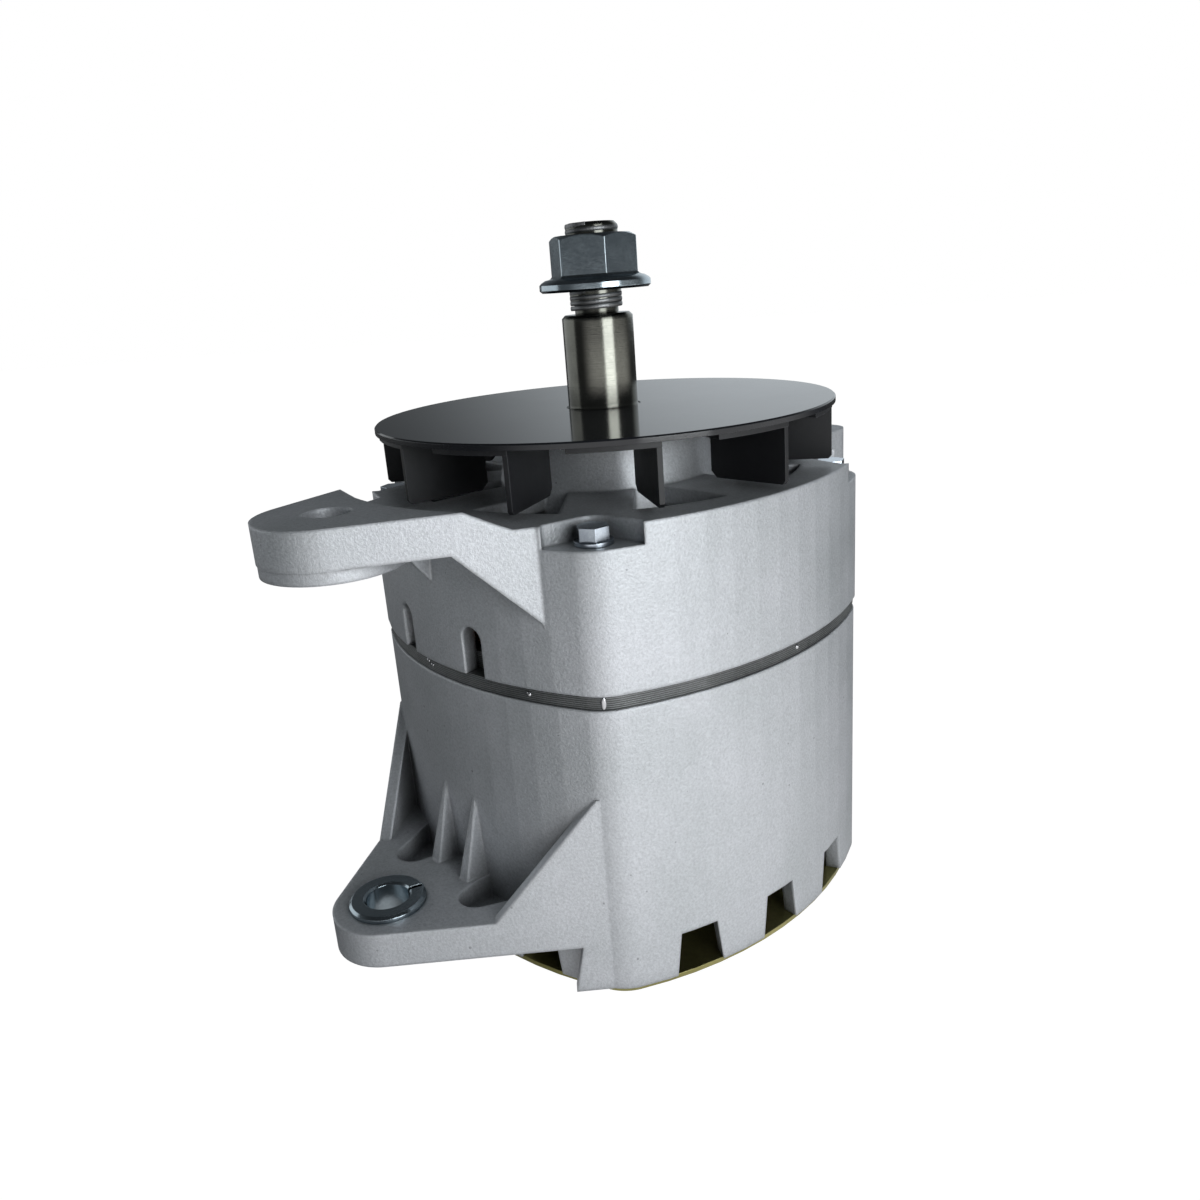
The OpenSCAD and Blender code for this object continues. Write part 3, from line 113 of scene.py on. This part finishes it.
# Studio: a large soft lamp from the front right, a wide dim one from the left and behind,
# a plain floor. Angles in degrees round +Z and up, lengths in metres. wall is what metal
# mirrors, room lights the matt surfaces, and the third lobe is a painted pool of light on the
# floor, bright towards the key lamp, that metal mirrors
studio = {
    "keyAngle": -54, "keyHeight": 8, "keyDistance": 1.1, "keySize": (0.65, 0.75), "keyWatts": 7.3,
    "fillAngle": 160, "fillHeight": 10, "fillDistance": 1.3, "fillSize": (1.6, 0.7),
    "fillWatts": 2.4, "lampTint": (0.94, 0.98, 1.0),
    "wall": {"toward": (0.44, 0.9, 0.0), "edges": (0.7, 0.985), "levels": (0.1, 0.85)},
    "room": {"toward": (0.5, 0.0, 0.85), "edges": (-0.5, 1.0), "levels": (0.03, 0.16)},
    "paintedFloorLight": {"toward": (0.57, -0.82, 0.0), "edges": (-0.1, 0.8), "levels": (0.05, 1.3)},
    "ceilingEdges": (0.3, 0.75), "ceilingShare": 0.3, "roomTint": (0.88, 0.95, 1.0),
    "floorShade": (0.8, 0.805, 0.81), "floorSize": 4.0, "floorShare": 0.86, "floorGlow": 1.16,
}


def aroundObject(angle, height, distance):
    a, e = math.radians(angle), math.radians(height)
    return Vector((math.cos(a) * math.cos(e), math.sin(a) * math.cos(e), math.sin(e))) * distance


def makeLamp(name, angle, height, distance, size, watts, tint, middle):
    lamp = bpy.data.lights.new(name, "AREA")
    lamp.shape = "RECTANGLE"
    lamp.size, lamp.size_y = size
    lamp.energy = watts
    lamp.color = tint
    holder = bpy.data.objects.new(name, lamp)
    away = aroundObject(angle, height, distance)
    holder.location = middle + away
    holder.rotation_euler = away.to_track_quat("Z", "Y").to_euler()
    bpy.context.scene.collection.objects.link(holder)


def addNode(tree, kind, inputs=None, **settings):
    made = tree.nodes.new(kind)
    for key, value in settings.items():
        setattr(made, key, value)
    for key, value in (inputs or {}).items():
        if isinstance(value, bpy.types.NodeSocket):
            tree.links.new(value, made.inputs[key])
        else:
            made.inputs[key].default_value = value
    return made


def doMath(tree, operation, first, second=0.0):
    return addNode(tree, "ShaderNodeMath", {0: first, 1: second}, operation=operation).outputs[0]


# How bright a direction is: low + (high - low) * smooth(direction . toward), where smooth
# climbs from 0 to 1 between the two edges
def softLobe(tree, direction, lobe):
    toward = addNode(tree, "ShaderNodeVectorMath",
                     {0: direction, 1: Vector(lobe["toward"]).normalized()},
                     operation="DOT_PRODUCT").outputs["Value"]
    return addNode(tree, "ShaderNodeMapRange",
                   {"Value": toward, "From Min": lobe["edges"][0], "From Max": lobe["edges"][1],
                    "To Min": lobe["levels"][0], "To Max": lobe["levels"][1]},
                   interpolation_type="SMOOTHERSTEP").outputs["Result"]


# White where the camera looks. Metal and glass see the wall, which fades towards the ceiling,
# and matt surfaces are lit by the room
def makeWorld(look):
    world = bpy.data.worlds.new("studioWorld")
    world.use_nodes = True
    tree = world.node_tree
    tree.nodes.clear()
    path = addNode(tree, "ShaderNodeLightPath")
    direction = addNode(tree, "ShaderNodeTexCoord").outputs["Generated"]
    mirrored = doMath(tree, "MAXIMUM", path.outputs["Is Glossy Ray"],
                      path.outputs["Is Transmission Ray"])
    climb = addNode(tree, "ShaderNodeSeparateXYZ", {0: direction}).outputs["Z"]
    ceiling = addNode(tree, "ShaderNodeMapRange",
                      {"Value": climb, "From Min": look["ceilingEdges"][0],
                       "From Max": look["ceilingEdges"][1], "To Min": 1.0,
                       "To Max": look["ceilingShare"]},
                      interpolation_type="SMOOTHSTEP").outputs["Result"]
    wall = doMath(tree, "MULTIPLY", softLobe(tree, direction, look["wall"]), ceiling)
    around = softLobe(tree, direction, look["room"])
    strength = addNode(tree, "ShaderNodeMix", {0: mirrored, 2: around, 3: wall}).outputs[0]
    room = addNode(tree, "ShaderNodeBackground",
                   {"Color": (*look["roomTint"], 1), "Strength": strength})
    white = addNode(tree, "ShaderNodeBackground", {"Color": (1, 1, 1, 1), "Strength": 1.0})
    both = addNode(tree, "ShaderNodeMixShader",
                   {0: path.outputs["Is Camera Ray"], 1: room.outputs[0], 2: white.outputs[0]})
    out = addNode(tree, "ShaderNodeOutputWorld")
    tree.links.new(both.outputs[0], out.inputs["Surface"])
    bpy.context.scene.world = world


# A pale floor that keeps the shadow. It glows evenly for the camera and glass, and metal
# mirrors it with painted light, a glow that is bright on the side of the key lamp
def makeFloor(look, low):
    half = look["floorSize"]
    sheet = bpy.data.meshes.new("studioFloor")
    corners = [(-half, -half, low), (half, -half, low), (half, half, low), (-half, half, low)]
    sheet.from_pydata(corners, [], [(0, 1, 2, 3)])
    floor = bpy.data.objects.new("studioFloor", sheet)
    bpy.context.scene.collection.objects.link(floor)
    paint = bpy.data.materials.new("paleFloor")
    paint.use_nodes = True
    tree = paint.node_tree
    tree.nodes.clear()
    path = addNode(tree, "ShaderNodeLightPath")
    place = addNode(tree, "ShaderNodeTexCoord").outputs["Object"]
    direction = addNode(tree, "ShaderNodeVectorMath", {0: place}, operation="NORMALIZE").outputs[0]
    seen = doMath(tree, "MAXIMUM", path.outputs["Is Camera Ray"],
                  path.outputs["Is Transmission Ray"])
    # Painted light: for mirrored rays the floor glows brighter towards the key lamp, standing in
    # for the lamp's light falling on it
    paintedFloorLight = softLobe(tree, direction, look["paintedFloorLight"])
    mirrored = path.outputs["Is Glossy Ray"]
    share = doMath(tree, "MULTIPLY", doMath(tree, "MAXIMUM", seen, mirrored), look["floorShare"])
    level = addNode(tree, "ShaderNodeMix", {0: mirrored, 2: look["floorGlow"], 3: paintedFloorLight}).outputs[0]
    matt = addNode(tree, "ShaderNodeBsdfDiffuse", {"Color": (*look["floorShade"], 1)})
    glow = addNode(tree, "ShaderNodeEmission", {"Color": (1, 1, 1, 1), "Strength": level})
    both = addNode(tree, "ShaderNodeMixShader", {0: share, 1: matt.outputs[0], 2: glow.outputs[0]})
    out = addNode(tree, "ShaderNodeOutputMaterial")
    tree.links.new(both.outputs[0], out.inputs["Surface"])
    sheet.materials.append(paint)


bpy.context.scene.view_settings.view_transform = "Standard"
middle = (cadBox[0] + cadBox[1]) / 2
makeWorld(studio)
makeFloor(studio, cadBox[0].z)
makeLamp("keyLight", studio["keyAngle"], studio["keyHeight"], studio["keyDistance"],
         studio["keySize"], studio["keyWatts"], studio["lampTint"], middle)
makeLamp("fillLight", studio["fillAngle"], studio["fillHeight"], studio["fillDistance"],
         studio["fillSize"], studio["fillWatts"], studio["lampTint"], middle)
print("studio ready")


# Finishes. mottle and grain count spots per metre, edge and the reach of the painted shade in
# recesses are in metres and bump is in mm. Each pair of edges says where a texture starts and stops
# to act
plainFinish = {
    "dark": (0.3, 0.3, 0.3), "light": (0.4, 0.4, 0.4), "mottle": 60.0, "mottleEdges": (0.32, 0.68),
    "metal": 0.0, "rough": (0.4, 0.5), "roughEdges": (0.3, 0.7),
    "grain": 900.0, "grainTone": 0.06, "grainEdges": (0.3, 0.7), "bump": 0.02,
    # Painted light in part: the edge tone paints edges lighter in patches, partly wear and partly a
    # painted highlight
    "edge": 0.0003, "edgeTone": None, "edgeShare": 0.5, "wearAndHighlightEdges": (0.97, 0.8),
    # Painted shade: the next values darken the colour in recesses and corners, where ambient
    # occlusion finds other surfaces near
    "crevice": 0.5, "creviceReach": 0.006, "creviceEdges": (0.25, 0.95),
    "coat": 0.0, "coatRough": 0.1,
    "pits": 0.0, "pitsPerMetre": 230.0, "pitTone": (0.2, 0.2, 0.22), "pitlessShare": 0.7,
    "pitSize": 0.1, "raySamples": 6,
}


def vary(**changes):
    return {**plainFinish, **changes}


def mixColor(tree, share, first, second, blend="MIX"):
    made = addNode(tree, "ShaderNodeMix", data_type="RGBA", blend_type=blend)
    for key, value in ((0, share), (6, first), (7, second)):
        if isinstance(value, bpy.types.NodeSocket):
            tree.links.new(value, made.inputs[key])
        else:
            made.inputs[key].default_value = value if key == 0 else (*value, 1)
    return made.outputs[2]


# A value taken from one range to another, and held at its ends
def mapRange(tree, value, edges, levels=(0.0, 1.0)):
    return addNode(tree, "ShaderNodeMapRange",
                   {"Value": value, "From Min": edges[0], "From Max": edges[1],
                    "To Min": levels[0], "To Max": levels[1]}).outputs[0]


def shadeBy(tree, shade, level):
    gray = addNode(tree, "ShaderNodeCombineColor", {0: level, 1: level, 2: level}).outputs[0]
    return mixColor(tree, 1.0, shade, gray, "MULTIPLY")


# Mottled colour with a fine grain, rounded edges painted lighter, partly as wear and partly as a
# painted highlight, and painted shade in recesses. relief gives a height of its own and changes the
# shade, as turned rings or laminations do
def makeFinish(name, look, relief=None):
    material = bpy.data.materials.new(name)
    material.use_nodes = True
    tree = material.node_tree
    shader = tree.nodes["Principled BSDF"]
    place = addNode(tree, "ShaderNodeTexCoord").outputs["Object"]
    mottle = addNode(tree, "ShaderNodeTexNoise",
                     {"Vector": place, "Scale": look["mottle"], "Detail": 5.0,
                      "Roughness": 0.6}).outputs["Fac"]
    grain = addNode(tree, "ShaderNodeTexNoise",
                    {"Vector": place, "Scale": look["grain"], "Detail": 3.0,
                     "Roughness": 0.65}).outputs["Fac"]
    shade = mixColor(tree, mapRange(tree, mottle, look["mottleEdges"]), look["dark"], look["light"])
    tone = look["grainTone"]
    shade = shadeBy(tree, shade, mapRange(tree, grain, look["grainEdges"], (1 - tone, 1 + tone)))
    if look["pits"]:
        cells = addNode(tree, "ShaderNodeTexVoronoi",
                        {"Vector": place, "Scale": look["pitsPerMetre"]})
        chance = addNode(tree, "ShaderNodeSeparateColor", {0: cells.outputs["Color"]}).outputs[0]
        size = mapRange(tree, chance, (look["pitlessShare"], 1.0), (0.0, look["pitSize"]))
        inside = doMath(tree, "LESS_THAN", cells.outputs["Distance"], size)
        pit = doMath(tree, "MULTIPLY", inside, look["pits"])
        shade = mixColor(tree, pit, shade, look["pitTone"])
    height = grain
    if relief:
        height, shade = relief(tree, place, shade)
    rounded = addNode(tree, "ShaderNodeBevel", {"Radius": look["edge"]},
                      samples=look["raySamples"]).outputs[0]
    # Edges are painted lighter in patches, partly as wear and partly as a painted highlight
    if look["edgeTone"]:
        flat = addNode(tree, "ShaderNodeNewGeometry").outputs["True Normal"]
        turn = addNode(tree, "ShaderNodeVectorMath", {0: rounded, 1: flat},
                       operation="DOT_PRODUCT").outputs["Value"]
        wearAndHighlight = mapRange(tree, turn, look["wearAndHighlightEdges"], (0.0, look["edgeShare"]))
        patchyWearAndHighlight = doMath(tree, "MULTIPLY", wearAndHighlight, mottle)
        shade = mixColor(tree, patchyWearAndHighlight, shade, look["edgeTone"])
    # Painted shade: the colour darkens in recesses and corners, where ambient occlusion finds other
    # surfaces near
    near = addNode(tree, "ShaderNodeAmbientOcclusion", {"Distance": look["creviceReach"]},
                   samples=look["raySamples"]).outputs["AO"]
    paintedHollowShade = mapRange(tree, near, look["creviceEdges"], (1 - look["crevice"], 1.0))
    shade = shadeBy(tree, shade, paintedHollowShade)
    tree.links.new(shade, shader.inputs["Base Color"])
    gloss = mapRange(tree, mottle, look["roughEdges"], look["rough"])
    tree.links.new(gloss, shader.inputs["Roughness"])
    shader.inputs["Metallic"].default_value = look["metal"]
    shader.inputs["Coat Weight"].default_value = look["coat"]
    shader.inputs["Coat Roughness"].default_value = look["coatRough"]
    bump = addNode(tree, "ShaderNodeBump",
                   {"Height": height, "Distance": look["bump"] * mm, "Normal": rounded})
    tree.links.new(bump.outputs[0], shader.inputs["Normal"])
    return material


# Fine rings round the shaft axis: a noise read along z alone
def turnedRings(pitch, tone, edges):
    def relief(tree, place, shade):
        along = addNode(tree, "ShaderNodeSeparateXYZ", {0: place}).outputs["Z"]
        rings = addNode(tree, "ShaderNodeTexNoise", {"W": along, "Scale": 1 / pitch, "Detail": 3.0},
                        noise_dimensions="1D").outputs["Fac"]
        return rings, shadeBy(tree, shade, mapRange(tree, rings, edges, (1 - tone, 1 + tone)))
    return relief


# Bands stacked along z, such as steel sheets seen on edge or wires side by side: one wave
# for each pitch, which wanders a little. A wave texture's own pitch is 2 pi / 20
def stackedBands(pitch, tone, wander, wanderScale):
    def relief(tree, place, shade):
        bands = addNode(tree, "ShaderNodeTexWave",
                        {"Vector": place, "Scale": 2 * math.pi / 20 / pitch, "Distortion": wander,
                         "Detail": 1.0, "Detail Scale": wanderScale},
                        wave_type="BANDS", bands_direction="Z").outputs["Fac"]
        return bands, shadeBy(tree, shade, mapRange(tree, bands, (0, 1), (1 - tone, 1 + tone)))
    return relief


# Every finish paints shade into its recesses, and each one that sets an edge tone paints lighter
# edges, partly wear and partly a painted highlight
finishes = {
    "cast_aluminium": makeFinish("castAluminium", vary(
        dark=(0.58, 0.6, 0.62), light=(0.68, 0.69, 0.72), mottle=28.0, pits=0.55, metal=0.5,
        rough=(0.42, 0.5), grain=1300.0, grainTone=0.13, bump=0.14, edge=0.0014,
        edgeTone=(0.86, 0.87, 0.9), edgeShare=0.9, crevice=0.65, creviceReach=0.009)),
    "laminated_steel": makeFinish("laminatedSteel", vary(
        dark=(0.13, 0.135, 0.135), light=(0.22, 0.225, 0.225), metal=0.6, rough=(0.38, 0.5),
        bump=0.12, grainTone=0.12), stackedBands(0.6 * mm, 0.45, 0.6, 0.4)),
    "enamelled_copper": makeFinish("enamelledCopper", vary(
        dark=(0.3, 0.1, 0.035), light=(0.42, 0.16, 0.06), metal=0.3, rough=(0.25, 0.35),
        bump=0.35, coat=0.6), stackedBands(1.1 * mm, 0.3, 3.0, 0.15)),
    "bright_zinc": makeFinish("brightZinc", vary(
        dark=(0.52, 0.58, 0.66), light=(0.7, 0.77, 0.85), mottle=300.0, metal=1.0,
        rough=(0.16, 0.26), grainTone=0.05, bump=0.01, edgeTone=(0.92, 0.94, 0.97))),
    "yellow_zinc": makeFinish("yellowZinc", vary(
        dark=(0.3, 0.28, 0.1), light=(0.5, 0.46, 0.2), mottle=35.0, metal=0.9, rough=(0.28, 0.4),
        grainTone=0.07, bump=0.02, edgeTone=(0.7, 0.68, 0.45))),
    "blue_zinc": makeFinish("blueZinc", vary(
        dark=(0.44, 0.51, 0.56), light=(0.52, 0.6, 0.65), mottle=60.0, metal=1.0, rough=(0.14, 0.2),
        grainTone=0.08, bump=0.015, edgeTone=(0.86, 0.92, 0.95))),
    "bearing_steel": makeFinish("bearingSteel", vary(
        dark=(0.5, 0.5, 0.51), light=(0.58, 0.58, 0.6), metal=1.0, rough=(0.2, 0.3), bump=0.01)),
    "plain_steel": makeFinish("plainSteel", vary(
        dark=(0.2, 0.205, 0.21), light=(0.33, 0.335, 0.34), metal=1.0, rough=(0.35, 0.5))),
    "polished_steel": makeFinish("polishedSteel", vary(
        dark=(0.14, 0.14, 0.125), light=(0.2, 0.2, 0.175), metal=1.0, rough=(0.12, 0.18),
        bump=0.006, edge=0.0016), turnedRings(0.25 * mm, 0.07, (0.3, 0.7))),
    "bare_aluminium": makeFinish("bareAluminium", vary(
        dark=(0.62, 0.63, 0.64), light=(0.72, 0.73, 0.74), metal=1.0, rough=(0.3, 0.42))),
    "insulating_resin": makeFinish("insulatingResin", vary(
        dark=(0.12, 0.05, 0.03), light=(0.17, 0.075, 0.045), rough=(0.42, 0.55))),
    "black_plastic": makeFinish("blackPlastic", vary(
        dark=(0.018, 0.018, 0.02), light=(0.03, 0.03, 0.033), rough=(0.4, 0.52))),
    "white_nylon": makeFinish("whiteNylon", vary(
        dark=(0.62, 0.6, 0.53), light=(0.72, 0.7, 0.63), rough=(0.45, 0.55))),
    "copper_stud": makeFinish("copperStud", vary(
        dark=(0.5, 0.2, 0.1), light=(0.68, 0.32, 0.17), metal=1.0, rough=(0.25, 0.38), bump=0.01)),
    "black_paint": makeFinish("blackPaint", vary(
        dark=(0.012, 0.013, 0.016), light=(0.02, 0.021, 0.025), mottle=25.0, rough=(0.09, 0.13),
        grain=500.0, grainTone=0.1, bump=0.006, edge=0.0002, edgeTone=(0.16, 0.165, 0.18),
        edgeShare=0.5, crevice=0.5)),
    "brass_cage": makeFinish("brassCage", vary(
        dark=(0.5, 0.36, 0.14), light=(0.64, 0.48, 0.22), metal=1.0, rough=(0.28, 0.4))),
    "carbon": makeFinish("carbon", vary(
        dark=(0.03, 0.03, 0.032), light=(0.055, 0.055, 0.058), rough=(0.5, 0.62))),
}

# The blades are painted like the disc, but they are duller, their paint is darker as painted shade
# under the disc, and their edges are lighter, partly bare and partly a painted highlight
shadedBladePaint = makeFinish("shadedBladePaint", vary(
    dark=(0.007, 0.0075, 0.009), light=(0.012, 0.0125, 0.015), mottle=40.0, rough=(0.4, 0.55),
    grain=500.0, grainTone=0.1, bump=0.02, edge=0.00025, edgeTone=(0.2, 0.205, 0.22),
    edgeShare=0.9, crevice=0.5))

for part in frame["record"]["subparts"]:
    surface = nodes[part["node"]].data
    surface.materials.clear()
    surface.materials.append(finishes[part["material_slot"]])
# The blades take the darker paint, which holds painted shade
nodes["fan_blades"].data.materials[0] = shadedBladePaint
print("finishes on", len(nodes), "nodes")


# A closed mesh with its faces turned outwards, on a body and in a finish
def addPiece(name, spots, faces, body, slot):
    skin = bpy.data.meshes.new(name)
    skin.from_pydata(spots.tolist(), [], [list(map(int, face)) for face in faces])
    skin.validate()
    shape = bmesh.new()
    shape.from_mesh(skin)
    bmesh.ops.recalc_face_normals(shape, faces=shape.faces)
    shape.to_mesh(skin)
    shape.free()
    piece = bpy.data.objects.new(name, skin)
    bpy.context.scene.collection.objects.link(piece)
    skin.materials.append(finishes[slot])
    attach(piece, body)
    return piece


# A closed skin from a grid of points: rows run along the piece, columns close round it,
# and a fan of faces shuts each end
def makeSkin(name, points, body, slot):
    rows, columns = points.shape[:2]
    ends = points[[0, -1]].mean(axis=1)
    spots = np.concatenate([points.reshape(-1, 3), ends])
    row, column = np.meshgrid(np.arange(rows - 1), np.arange(columns), indexing="ij")
    after = (column + 1) % columns
    walls = np.stack([row * columns + column, (row + 1) * columns + column,
                      (row + 1) * columns + after, row * columns + after], axis=-1).reshape(-1, 4)
    turn = np.arange(columns)
    nextTurn = (turn + 1) % columns
    first = np.stack([np.full(columns, rows * columns), turn, nextTurn], axis=-1)
    base = (rows - 1) * columns
    last = np.stack([np.full(columns, rows * columns + 1), base + nextTurn, base + turn], axis=-1)
    return addPiece(name, spots, walls.tolist() + first.tolist() + last.tolist(), body, slot)


# Threads, in mm: start and length run along the rod's axis from its origin
threads = {
    "shaftThreadLow": {"radius": 8.0, "pitch": 1.5, "start": 29.6, "length": 5.4, "depth": 0.16,
                       "toward": (0, 0, 1), "origin": (0, 0, 0),
                       "body": "rotor", "slot": "plain_steel"},
    "shaftThreadHigh": {"radius": 8.0, "pitch": 1.5, "start": 51.9, "length": 2.4, "depth": 0.16,
                        "toward": (0, 0, 1), "origin": (0, 0, 0),
                        "body": "rotor", "slot": "plain_steel"},
    "outputThread": {"radius": 4.0, "pitch": 1.25, "start": 83.4, "length": 9.4, "depth": 0.14,
                     "toward": (0.5556, 0.8315, 0), "origin": (0, 0, -146.9),
                     "body": "housing", "slot": "copper_stud"},
}

# The section of every ridge: across in pitches, crest in depths. Its feet lie sunk in the
# rod, and it runs in and out over runOut radians
ridge = {"across": (-0.46, -0.14, 0.14, 0.46, 0.46, -0.46), "crest": (0, 1, 1, 0, -1.5, -1.5),
         "sunk": 0.02, "runOut": math.pi / 2, "leastShare": 0.02, "stepsPerTurn": 48}


# The ridge follows a screw line: z = start + pitch * (t / 2 pi + across) and
# r = radius - sunk + depth * crest * share, where share falls from 1 to leastShare at both ends
def makeThread(name, look):
    turns = look["length"] / look["pitch"]
    t = np.linspace(0, turns * 2 * math.pi, int(turns * ridge["stepsPerTurn"]) + 1)[:, None]
    crest = np.array(ridge["crest"])
    share = np.clip(np.minimum(t, t[-1] - t) / ridge["runOut"], ridge["leastShare"], 1)
    radius = (look["radius"] - ridge["sunk"]
              + look["depth"] * crest * np.where(crest > 0, share, 1))
    along = look["start"] + look["pitch"] * (t / (2 * math.pi) + np.array(ridge["across"]))
    axis = np.array(Vector(look["toward"]).normalized())
    side = np.array(Vector(look["toward"]).orthogonal().normalized())
    other = np.cross(axis, side)
    points = (np.array(look["origin"]) + along[..., None] * axis
              + (radius * np.cos(t))[..., None] * side + (radius * np.sin(t))[..., None] * other)
    return makeSkin(name, points * mm, look["body"], look["slot"])


for name, look in threads.items():
    makeThread(name, look)
print("threads cut")


# Edges that turn by more than the angle stay sharp and the rest is smooth
def smoothPiece(piece, angle):
    piece.data.shade_smooth()
    piece.data.set_sharp_from_angle(angle=math.radians(angle))


# Lengths in mm and angles in degrees. turn is that of one corner round the shaft, the
# chamfer falls by its slope from its share of the flats, and pairs are (along the radius,
# along the axis)
flangeNut = {
    "acrossFlats": 24.0, "height": 16.2, "flange": 34.5, "flangeHeight": 3.8, "bore": 16.15,
    "turn": -11.0, "chamferSlope": 0.55, "chamferShare": 0.97,
    "boreFoot": (0.7, 0.7), "boreMouth": (0.9, 0.8), "brimFoot": (0.8, 0.7),
    "brimRise": 1.5, "brimTop": (0.5, 0.9), "slopeTop": (3.4, 0.1),
    "fillet": (0.5, 0.35), "filletTop": 0.9, "columns": 240, "sharpFrom": 22,
}


# Each column runs round the nut's section at the angle a. The hexagon's radius is
# apothem / cos(a from the middle of its flat), and its top edge falls by slope * (radius - chamfer)
def makeFlangeNut(look, low):
    angle = np.linspace(0, 2 * math.pi, look["columns"], endpoint=False)
    fromFlat = (angle - math.radians(look["turn"])) % (math.pi / 3) - math.pi / 6
    apothem, bore, flange = look["acrossFlats"] / 2, look["bore"] / 2, look["flange"] / 2
    hexagon = apothem / np.cos(fromFlat)
    chamfer = apothem * look["chamferShare"]
    top, brim = look["height"], look["flangeHeight"]
    section = [
        (bore, look["boreFoot"][1]),
        (bore + look["boreFoot"][0], 0),
        (flange - look["brimFoot"][0], 0),
        (flange, look["brimFoot"][1]),
        (flange, brim - look["brimRise"]),
        (flange - look["brimTop"][0], brim - look["brimTop"][1]),
        (apothem + look["slopeTop"][0], brim - look["slopeTop"][1]),
        (hexagon + look["fillet"][0], brim + look["fillet"][1]),
        (hexagon, brim + look["filletTop"]),
        (hexagon, top - look["chamferSlope"] * (hexagon - chamfer)),
        (chamfer, top),
        (bore + look["boreMouth"][0], top),
        (bore, top - look["boreMouth"][1]),
    ]
    radius = np.array([np.broadcast_to(ring[0], angle.shape) for ring in section])
    height = np.array([np.broadcast_to(ring[1], angle.shape) for ring in section]) + low
    points = np.stack([radius * np.cos(angle), radius * np.sin(angle), height], axis=-1)
    rows, columns = radius.shape
    row, column = np.meshgrid(np.arange(rows), np.arange(columns), indexing="ij")
    nextRow, nextColumn = (row + 1) % rows, (column + 1) % columns
    faces = np.stack([row * columns + column, row * columns + nextColumn,
                      nextRow * columns + nextColumn, nextRow * columns + column], axis=-1)
    piece = addPiece("flangeNut", points.reshape(-1, 3) * mm, faces.reshape(-1, 4),
                     "rotor", "blue_zinc")
    smoothPiece(piece, look["sharpFrom"])
    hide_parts("shaft_nut")


makeFlangeNut(flangeNut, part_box("shaft_nut")[0].z / mm)
print("nut turned")


# The brush springs, in mm: wire is the wire's radius, closed says how far the pitch closes
# up at both ends, and travel is the brush's
brushSpring = {"wire": 0.35, "turns": 8, "closed": 0.35, "stepsPerTurn": 40, "wireSides": 8,
               "sharpFrom": 30, "toward": (1, -1, 0), "travel": 6.0}


# A helix round the axis at the angle 2 pi turns t. Along it, with t from 0 to 1,
# s = length * (t - closed * sin(2 pi t) / (2 pi)). The node lies on a diagonal of x and y, so
# its own length is found from its box: s = x * sqrt(2), less the coil's radius at each end
def makeBrushSpring(name, node, look):
    low, high = (np.array(corner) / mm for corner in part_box(node))
    axis = np.array(Vector(look["toward"]).normalized())
    coil = (high[2] - low[2]) / 2
    start, end = math.sqrt(2) * low[0] + coil, math.sqrt(2) * high[0] - coil
    wire = look["wire"]
    t = np.linspace(0, 1, look["turns"] * look["stepsPerTurn"] + 1)
    ease = t - np.sin(2 * math.pi * t) / (2 * math.pi) * look["closed"]
    along = start + wire + (end - start - 2 * wire) * ease
    a = 2 * math.pi * look["turns"] * t
    side, up = np.cross(axis, (0, 0, 1)), np.array((0.0, 0.0, 1.0))
    outward = np.cos(a)[:, None] * side + np.sin(a)[:, None] * up
    centre = along[:, None] * axis + (coil - wire) * outward + up * (low[2] + high[2]) / 2
    b = np.linspace(0, 2 * math.pi, look["wireSides"], endpoint=False)
    ring = (np.cos(b)[None, :, None] * outward[:, None, :] + np.sin(b)[None, :, None] * axis) * wire
    piece = makeSkin(name, (centre[:, None, :] + ring) * mm, "housing", "bearing_steel")
    smoothPiece(piece, look["sharpFrom"])
    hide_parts(node)
    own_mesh(piece)


for letter in "ab":
    makeBrushSpring("brushSpring" + letter.upper(), "brush_spring_" + letter,
                    brushSpring)
print("springs wound")


# Welds across the core's sheets: angle in degrees, middle height and half height in mm.
# The core is looked for from reach outwards, and the beads' ends stop at endAngle radians
coreWelds = {
    "halfWidth": 0.8, "proud": 0.5, "slot": "bearing_steel", "reach": 200.0,
    "endAngle": 1.45, "rows": 13, "columns": 20, "sharpFrom": 60,
    "spots": [(-142.8, -68.7, 0.8), (-140.9, -69.5, 0.7), (-106.8, -69.3, 0.8),
              (-90.0, -69.45, 2.05), (0.0, -69.45, 2.05), (90.0, -69.45, 2.05),
              (180.0, -69.45, 2.05), (-38.0, -69.2, 0.8), (52.0, -69.2, 0.8),
              (141.0, -69.2, 0.8)],
}


# Each bead is an ellipsoid, x = a cos(u) cos(v), y = b cos(u) sin(v), z = c sin(u), half sunk
# into the core where a line from outside towards the shaft meets it
def makeCoreWelds(look):
    bpy.context.view_layer.update()
    core = BVHTree.FromObject(nodes["stator_core"], bpy.context.evaluated_depsgraph_get())
    u = np.linspace(-look["endAngle"], look["endAngle"], look["rows"])[:, None]
    v = np.linspace(0, 2 * math.pi, look["columns"], endpoint=False)[None, :]
    for number, (angle, height, halfHeight) in enumerate(look["spots"], 1):
        inward = -aroundObject(angle, 0, 1)
        start = Vector((0, 0, height * mm)) - inward * (look["reach"] * mm)
        hit, facing = core.ray_cast(start, inward)[:2]
        if hit is None:
            continue
        out = np.array(Vector((facing.x, facing.y, 0)).normalized())
        side = np.cross((0, 0, 1), out)
        points = (np.array(hit) + look["proud"] * mm * (np.cos(u) * np.cos(v))[..., None] * out
                  + look["halfWidth"] * mm * (np.cos(u) * np.sin(v))[..., None] * side
                  + halfHeight * mm * (np.sin(u) + 0 * v)[..., None] * np.array((0, 0, 1)))
        bead = makeSkin("coreWeld" + str(number), points, "housing", look["slot"])
        smoothPiece(bead, look["sharpFrom"])


makeCoreWelds(coreWelds)
print("welds laid")
